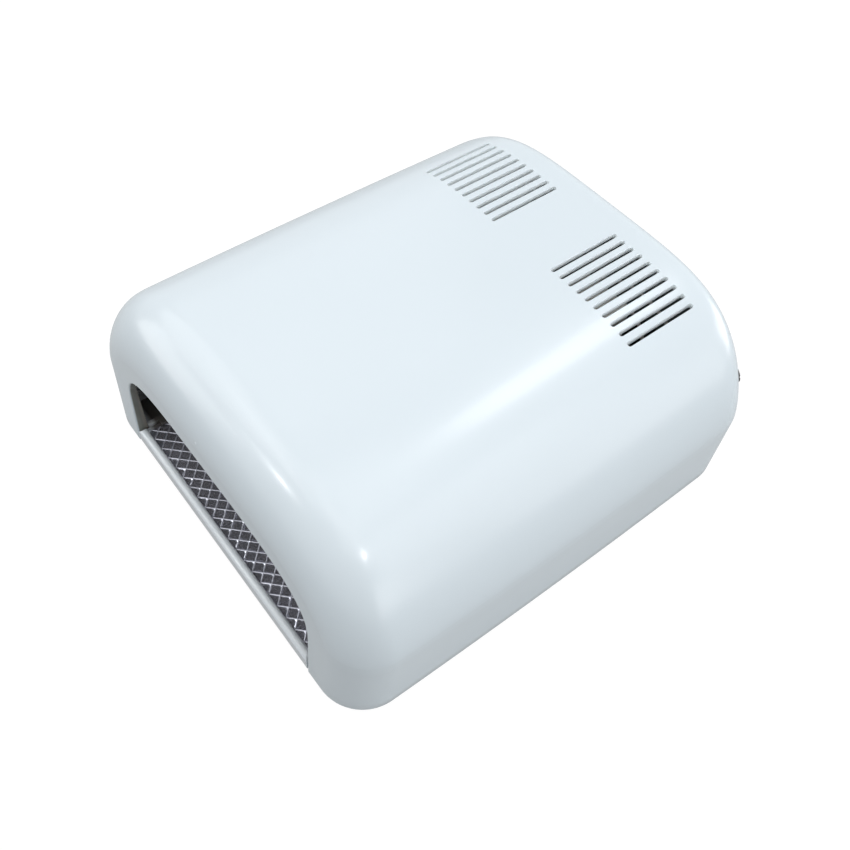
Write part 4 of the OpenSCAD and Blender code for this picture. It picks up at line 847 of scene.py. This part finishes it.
def smooth_outside(piece, outer_shape):
    """Shades the piece by angle, and its outside by the normals of the uncut surface."""
    mesh = piece.data
    mesh.shade_smooth()
    mesh.set_sharp_from_angle(angle=SHARP)
    uncut = outward(mesh_object("uncut", *outer_shape))
    points = [v.co.copy() for v in uncut.data.vertices]
    faces = [tuple(f.vertices) for f in uncut.data.polygons]
    vertex_normals = [v.normal.copy() for v in uncut.data.vertices]
    bpy.data.objects.remove(uncut)
    tree = BVHTree.FromPolygons(points, faces)
    on_surface, depths = {}, []
    for vertex in mesh.vertices:
        spot, _, index, distance = tree.find_nearest(vertex.co)
        depths.append(distance)
        if distance < ON_SURFACE * MM:
            normal = end_normal(vertex.co)
            if normal is None:
                corners = faces[index]
                weights = poly_3d_calc([points[i] for i in corners], spot)
                normal = sum((vertex_normals[i] * w for i, w in zip(corners, weights)), Vector())
            on_surface[vertex.index] = normal.normalized()
    normals = [Vector(n.vector) for n in mesh.corner_normals]
    for face in mesh.polygons:
        face.material_index = shell_material(face, depths)
        if all(i in on_surface for i in face.vertices):
            if face.normal.dot(on_surface[face.vertices[0]]) > 0.9:
                for corner in face.loop_indices:
                    normals[corner] = on_surface[mesh.loops[corner].vertex_index]
    mesh.normals_split_custom_set(normals)


def housing_cavity():
    """All that is hollow in the shell, which leaves the opening's flange, the panel, bosses and webs."""
    cavity = outward(mesh_object("cavity", *loft(WALL, -1, section_n=48, foot_r=0, counts=(16, 32, 14),
                                                 columns=8, skirt_n=3)))
    carve(cavity, tool(prism_y(arch_outline(RIM_WALL), -1, RIM_DEPTH)))
    pad = round_rect(2 * (PANEL_HALF_W + WALL), 2 * (PANEL_HALF_H + WALL), PANEL_CORNER_R + WALL)
    carve(cavity, tool(prism_y(pad + (0, CONTROL_Z), PANEL_Y - WALL, BODY_D + 5)))
    for side in SIDES:
        for y in BOSS_YS:
            carve(cavity, tool(prism_z(circle(side * BOSS_X, y, BOSS_R, 28), BASE_TOP_Z, BODY_H)))
            web = np.array([(BOSS_X, y - WEB_HALF), (BODY_W / 2, y - WEB_HALF),
                            (BODY_W / 2, y + WEB_HALF), (BOSS_X, y + WEB_HALF)])
            carve(cavity, tool(prism_z(web * (side, 1), BASE_TOP_Z, BODY_H)))
    return cavity


def control_holes():
    """Outlines of the holes in the rear panel."""
    for x, r in ((FUSE_X, FUSE_HOLE_R), (BUTTON_X, BUTTON_HOLE_R), (GLAND_X, GLAND_HOLE_R)):
        yield circle(x, CONTROL_Z, r)
    yield round_rect(ROCKER_HOLE_W, ROCKER_HOLE_H, 0.3, 2) + (ROCKER_X, CONTROL_Z)


def housing_shell(finishes):
    outer_shape = loft(0, 0, section_n=84, foot_r=0.4, counts=(26, 64, 24), columns=24, skirt_n=7)
    shell = outward(mesh_object("housing_shell", *outer_shape))
    carve(shell, housing_cavity())
    carve(shell, tool(arch_cutter()))
    carve(shell, tool(recess_cutter()))
    for i in range(VENT_COUNT):
        for side in SIDES:
            carve(shell, tool(slot_cutter(i, side)))
    for hole in control_holes():
        carve(shell, tool(prism_y(hole, PANEL_Y - 8, PANEL_Y + 6)))
    for side in SIDES:
        for y in BOSS_YS:
            pilot = circle(side * BOSS_X, y, PILOT_R, 20)
            carve(shell, tool(prism_z(pilot, BASE_TOP_Z - 1, BASE_TOP_Z + PILOT_LEN)))
    stand_for(shell, "upper_housing", finishes)
    shell.data.materials.append(finishes["shell_inside"])
    shell.data.materials.append(finishes["vent_walls"])
    smooth_outside(shell, outer_shape)


# The embossed sheet: shallow diamond cells between raised ridges

def embossed_sheet(finishes):
    """The sheet's lattice, rolled in a little unevenly: every side of a cell has its own height."""
    steps = np.array([0, 0.017, 0.036, 0.058, 0.3, 0.5, 0.7, 0.942, 0.964, 0.983])
    ridge = np.array([0.22, 0.18, 0.06, 0.0, 0.0, 0.0, 0.0, 0.0, 0.06, 0.18])
    ridge_spread, dome_h, dome_spread = (0.55, 1.15), 0.06, (0.5, 1.3)
    cells = 34
    chance = np.random.default_rng(11)
    along = np.concatenate([i + steps for i in range(-cells, cells)])
    cell = np.repeat(np.arange(2 * cells), len(steps))
    bulge = np.tile(np.sin(math.pi * steps), 2 * cells)
    profile = np.tile(ridge, 2 * cells)
    half = EMBOSS_PITCH / 2
    u, v = np.meshgrid(along * EMBOSS_PITCH, along * EMBOSS_PITCH, indexing="ij")

    def cell_chance(spread):
        return chance.uniform(*spread, (2 * cells,) * 2)[np.ix_(cell, cell)]

    across_u = profile[:, None] * cell_chance(ridge_spread)
    across_v = profile[None, :] * cell_chance(ridge_spread)
    dome = dome_h * cell_chance(dome_spread) * bulge[:, None] * bulge[None, :]
    h = np.maximum(np.maximum(across_u, across_v), dome)
    x = EMBOSS_AT[0] + (u + v) / 2
    y = EMBOSS_AT[1] + (u - v) / 2
    n = len(along)
    inside = (np.abs(x) < SHEET_X + half) & (y > SHEET_FRONT_Y - half) & (y < SHEET_BACK_Y + half)
    quads = inside[:-1, :-1] & inside[1:, :-1] & inside[1:, 1:] & inside[:-1, 1:]
    index = np.arange(n * n).reshape(n, n)
    corners = [part[quads] for part in (index[:-1, :-1], index[1:, :-1], index[1:, 1:], index[:-1, 1:])]
    used, faces = np.unique(np.stack(corners, -1), return_inverse=True)
    points = np.column_stack([x.ravel(), y.ravel(), (SHEET_Z + SHEET_THICK + h).ravel()])[used]
    sheet = mesh_object("embossed_sheet", to_frame(points), faces.reshape(-1, 4))
    work = bmesh.new()
    work.from_mesh(sheet.data)
    low, high = to_frame((-SHEET_X, SHEET_FRONT_Y, 0)), to_frame((SHEET_X, SHEET_BACK_Y, 0))
    for at, direction in ((low, (-1, 0, 0)), (low, (0, -1, 0)), (high, (1, 0, 0)), (high, (0, 1, 0))):
        bmesh.ops.bisect_plane(work, geom=work.verts[:] + work.edges[:] + work.faces[:], dist=1e-7,
                               plane_co=at, plane_no=direction, clear_outer=True)
    rim = [e for e in work.edges if e.is_boundary]
    drop = bmesh.ops.extrude_edge_only(work, edges=rim)["geom"]
    floor = to_frame((0, 0, SHEET_Z))[2]
    for part in drop:
        if isinstance(part, bmesh.types.BMVert):
            part.co.z = floor
    bmesh.ops.recalc_face_normals(work, faces=work.faces)
    work.to_mesh(sheet.data)
    work.free()
    sheet.data.shade_smooth()
    sheet.data.set_sharp_from_angle(angle=math.radians(50))
    stand_for(sheet, "tray_reflector", finishes)


# Screws: a domed head with a cross recess over a threaded shank

def axes_round(direction):
    """The direction of an axis and two directions square to it."""
    d = np.array(direction, float)
    a = np.cross(d, (0.3, 0.5, 0.8))
    a /= np.linalg.norm(a)
    return d, a, np.cross(d, a)


def turned(profile, place, direction, n=28):
    """Points and faces of a piece turned round an axis, from radius and distance along it."""
    d, a, b = axes_round(direction)
    turn = np.linspace(0, 2 * math.pi, n, endpoint=False)
    rings = []
    for radius, s in profile:
        r = np.broadcast_to(radius, n)
        spokes = (r * np.cos(turn))[:, None] * a + (r * np.sin(turn))[:, None] * b
        rings.append(np.array(place) + d * s + spokes)
    return stack(rings)


def together(shapes):
    """Several shapes as one."""
    points, faces, first = [], [], 0
    for part_points, part_faces in shapes:
        points.append(part_points)
        faces += [tuple(i + first for i in face) for face in part_faces]
        first += len(part_points)
    return np.concatenate(points), faces


def screw_shape(place, direction, length, head_r=SCREW_HEAD_R, n=28):
    turn = np.arange(n) / n
    dome = ((0.02, 0), (0.35, 0.02), (0.62, 0.12), (0.82, 0.33), (0.95, 0.65), (1, 1.0), (1, SCREW_HEAD_H))
    profile = [(r * head_r, s) for r, s in dome]
    profile.append((PILOT_R - THREAD_DEPTH, SCREW_HEAD_H))
    for s in np.arange(SCREW_HEAD_H + 0.25, length - 0.8, THREAD_PITCH / 5):
        crest = 1 - np.abs(2 * ((s / THREAD_PITCH + turn) % 1) - 1)
        profile.append((PILOT_R - THREAD_DEPTH * (1 - crest ** 2), s))
    profile += [(PILOT_R * 0.7, length - 0.6), (0.02, length)]
    return turned(profile, place, direction, n)


def cross_recess(place, direction, reach=1.45, depth=0.95):
    d, a, b = axes_round(direction)
    rings = []
    for s, r, w in ((-0.3, reach * 1.1, 0.36), (depth * 0.55, reach * 0.75, 0.3), (depth, reach * 0.3, 0.16)):
        arms = [(r, -w), (r, w), (w, w), (w, r), (-w, r), (-w, w),
                (-r, w), (-r, -w), (-w, -w), (-w, -r), (w, -r), (w, -w)]
        rings.append(np.array([np.array(place) + d * s + a * p + b * q for p, q in arms]))
    return stack(rings)


def screws(node, finishes, rows):
    """One piece for all the screws of a node. A row says where the middle of the head's top is, the
    direction of the shank, the length and, where it isn't the usual one, the head's radius."""
    piece = outward(mesh_object(node + "_piece", *together([screw_shape(*row) for row in rows])))
    carve(piece, tool(together([cross_recess(*row[:2]) for row in rows])))
    piece.data.shade_smooth()
    piece.data.set_sharp_from_angle(angle=math.radians(40))
    stand_for(piece, node, finishes)


def all_screws(finishes):
    up, down, back = (0, 0, 1), (0, 0, -1), (0, 1, 0)
    screws("housing_screws", finishes,
           [((side * BOSS_X, y, HOUSING_SCREW_Z), up, HOUSING_SCREW_LEN) for side in SIDES for y in BOSS_YS])
    screws("chassis_screws", finishes,
           [((side * ARCH_SCREW_X, y, ARCH_SCREW_Z), down, ARCH_SCREW_LEN)
            for side in SIDES for y in ARCH_SCREW_YS]
           + [((side * PLATE_SCREW_X, PLATE_SCREW_Y, PLATE_SCREW_Z), down, PLATE_SCREW_LEN)
              for side in SIDES])
    screws("choke_screws", finishes,
           [((side * x, CHOKE_SCREW_Y, CHOKE_SCREW_Z), down, CHOKE_SCREW_LEN)
            for side in SIDES for x in CHOKE_SCREW_XS])
    screws("board_screws", finishes,
           [((side * BOARD_SCREW_X, BOARD_SCREW_Y, z), back, BOARD_SCREW_LEN, BOARD_HEAD_R)
            for side in SIDES for z in BOARD_SCREW_ZS])


# Start button spring and the marks on the rocker

def swept(path, r, n=10):
    """A round wire along a path of points."""
    path = np.asarray(path, float)
    along = np.gradient(path, axis=0)
    along /= np.linalg.norm(along, axis=1)[:, None]
    side = np.cross(along[0], (0.31, 0.27, 0.9))
    rings = []
    for point, direction in zip(path, along):
        side = side - direction * side.dot(direction)
        side /= np.linalg.norm(side)
        other = np.cross(direction, side)
        turn = np.linspace(0, 2 * math.pi, n, endpoint=False)[:, None]
        rings.append(point + r * (np.cos(turn) * side + np.sin(turn) * other))
    return stack(rings)


def start_spring(finishes):
    t = np.linspace(0, 1, 36 * (SPRING_TURNS + 2))
    turn = 2 * math.pi * t * (SPRING_TURNS + 2)
    rise = np.clip((t * (SPRING_TURNS + 2) - 1) / SPRING_TURNS, 0, 1)
    low, high = SPRING_Y[0] + SPRING_WIRE_R, SPRING_Y[1] - SPRING_WIRE_R
    path = np.column_stack([BUTTON_X + SPRING_R * np.cos(turn), low + (high - low) * rise,
                            CONTROL_Z + SPRING_R * np.sin(turn)])
    spring = outward(mesh_object("start_spring", *swept(path, SPRING_WIRE_R)))
    spring.data.shade_smooth()
    stand_for(spring, "start_button_spring", finishes)
    floor = to_frame((BUTTON_X, SPRING_Y[0], CONTROL_Z))
    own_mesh(spring)


def rocker_marks(finishes):
    """A pad-printed bar and ring on the two halves of the rocker."""
    paddle = frame["nodes"]["rocker_paddle"].data
    tree = BVHTree.FromPolygons([v.co.copy() for v in paddle.vertices],
                                [tuple(f.vertices) for f in paddle.polygons])
    from_middle, sunk, proud = 4.6, -0.08, 0.03
    turn = np.linspace(0, 2 * math.pi, 48, endpoint=False)
    ring = np.stack([np.cos(turn), np.sin(turn)], -1)
    shapes = []
    for middle, inner, outer in (
            (from_middle, ring * (1.15, 1.55), ring * (1.6, 2.0)),
            (-from_middle, round_rect(0.3, 3.3, 0.14, 11), round_rect(0.75, 3.8, 0.3, 11))):
        points = []
        for outline, height in ((inner, sunk), (inner, proud), (outer, proud), (outer, sunk)):
            for x, z in outline + (ROCKER_X, CONTROL_Z + middle):
                start = Vector(to_frame((x, BODY_D + 10, z)))
                spot = tree.ray_cast(start, Vector((0, -1, 0)))[0]
                points.append(Vector(spot) + Vector((0, height * MM, 0)))
        n = len(inner)
        faces = [(k * n + j, k * n + (j + 1) % n, (k + 1) % 4 * n + (j + 1) % n, (k + 1) % 4 * n + j)
                 for k in range(4) for j in range(n)]
        shapes.append((np.array(points), faces))
    marks = outward(mesh_object("rocker_marks", *together(shapes)))
    marks.data.materials.append(finishes["holder_white"])
    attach(marks, "rocker")


# Lights and surroundings

# Metres: how far the softboxes stand from the point they are aimed at, and their sizes
LIGHT_REACH, AIM = 1.6, Vector((0, 0, 0.05))
LOW_BOX, MIDDLE_BOX, OVERHEAD_BOX = (0.7, 0.7), (0.9, 0.9), (1.0, 1.0)
# The share of the world's white that lights matte surfaces; mirrored or seen, it is all white
AMBIENT = 0.24


def soft_light(name, azimuth, elevation, size, power):
    """A softbox aimed at the lamp; azimuth 0 is behind the lamp and 90 on its right."""
    a, e = math.radians(azimuth), math.radians(elevation)
    data = bpy.data.lights.new(name, "AREA")
    data.shape = "RECTANGLE"
    data.size, data.size_y = size
    data.energy = power
    light = bpy.data.objects.new(name, data)
    towards = Vector((math.sin(a) * math.cos(e), math.cos(a) * math.cos(e), math.sin(e)))
    light.location = AIM + LIGHT_REACH * towards
    light.rotation_euler = (AIM - light.location).to_track_quat("-Z", "Y").to_euler()
    scene.collection.objects.link(light)


def light_studio():
    for row in (
            ("rear_low", 20, 12, LOW_BOX, 5.7),
            ("rear_right_low", 57, 12, LOW_BOX, 1.5),
            ("right_low", 90, 12, LOW_BOX, 2.4),
            ("front_left_low", 228, 14, LOW_BOX, 3.2),
            ("left_middle", 245, 42, MIDDLE_BOX, 3.7),
            ("right_middle", 65, 42, MIDDLE_BOX, 2.3),
            ("rear_left_middle", 290, 42, MIDDLE_BOX, 1.1),
            ("rear_right_high", 40, 66, MIDDLE_BOX, 0.85),
            ("front_right_high", 130, 66, MIDDLE_BOX, 2.3),
            ("front_left_high", 220, 66, MIDDLE_BOX, 2.3),
            ("rear_left_high", 310, 66, MIDDLE_BOX, 0.55),
            ("overhead", 0, 90, OVERHEAD_BOX, 1.7),
            ("shoulder_streak", -10, 59.5, (0.28, 0.5), 2.4),
            ("front_edge_glint", -150, 37, (0.07, 0.07), 1.4),
            ("front_corner_glint", 98, 52, (0.12, 0.12), 2.6)):
        soft_light(*row)


def surround_with_white():
    scene.world = bpy.data.worlds.new("studio")
    sky = NodeTree(scene.world)
    seen = sky.node("ShaderNodeLightPath", output="Is Camera Ray")
    for ray in ("Is Glossy Ray", "Is Transmission Ray"):
        seen = seen.most(sky.node("ShaderNodeLightPath", output=ray))
    sky.nodes["Background"].inputs["Color"].default_value = (1, 1, 1, 1)
    sky.feed("Background", "Strength", seen * (1 - AMBIENT) + AMBIENT)


# Half the side of the floor in metres, and the two tones of its paper
FLOOR_HALF = 3.0
PAPER_TONES = ((0.405, 0.413, 0.415), (0.415, 0.423, 0.425))
# How brightly it glows where it is seen, and under the lamp; the shares of that glow in mirrored light and
# near the lamp
GLOW, DIM_GLOW = 1.2, 0.32
GLOW_IN_GLOSS, GLOW_NEAR = 0.25, 0.8
# Millimetres inside the body's edge at which the dim part begins
UNDER_EDGE = 12.0


def lay_floor():
    """White paper. The camera sees it nearly shadowless, and white far away; what lies under the lamp stays
    dim, and it can be looked through from below."""
    corners = [(x * FLOOR_HALF, y * FLOOR_HALF, 0) for x, y in ((-1, -1), (1, -1), (1, 1), (-1, 1))]
    floor = mesh_object("floor", corners, [(0, 1, 2, 3)])
    paper = Finish("studio_paper", roughness=1.0, specular_ior_level=0.0)
    paper.set("Base Color", paper.blend(paper.noise(1.5, 3), *PAPER_TONES))
    x, y = paper.axis("X"), paper.axis("Y")
    far = ((x * x + y * y) ** 0.5).above(650, 500)
    inward = (x.unsigned().below(BODY_W / 2 - UNDER_EDGE, UNDER_EDGE)
              * y.unsigned().below(BODY_D / 2 - UNDER_EDGE, UNDER_EDGE))
    camera = paper.node("ShaderNodeLightPath", output="Is Camera Ray")
    glossy = paper.node("ShaderNodeLightPath", output="Is Glossy Ray")
    behind = paper.node("ShaderNodeNewGeometry", output="Backfacing")
    glow = paper.node("ShaderNodeEmission", None, {"Strength": GLOW})
    dim = paper.node("ShaderNodeEmission", None, {"Strength": DIM_GLOW})
    clear = paper.node("ShaderNodeBsdfTransparent")
    white = Reading(paper, paper.shader.outputs["BSDF"])
    seen = camera.most(glossy * GLOW_IN_GLOSS) * (far * (1 - GLOW_NEAR) + GLOW_NEAR)
    lit = paper.node("ShaderNodeMixShader", None, {0: seen, 1: white, 2: glow})
    under = paper.node("ShaderNodeMixShader", None, {0: inward, 1: lit, 2: dim})
    whole = paper.node("ShaderNodeMixShader", None, {0: behind, 1: under, 2: clear})
    paper.feed("Material Output", "Surface", whole)
    floor.data.materials.append(paper.material)


# The scene

OWN_MESH = ("upper_housing", "tray_reflector", "start_button_spring",
            "housing_screws", "chassis_screws", "choke_screws", "board_screws")

place_camera()
finishes = make_finishes()
housing_shell(finishes)
embossed_sheet(finishes)
all_screws(finishes)
start_spring(finishes)
rocker_marks(finishes)
for node in frame["nodes"]:
    if node not in OWN_MESH:
        refined(node, finishes)
lay_floor()
light_studio()
surround_with_white()
scene.view_settings.view_transform = "Standard"
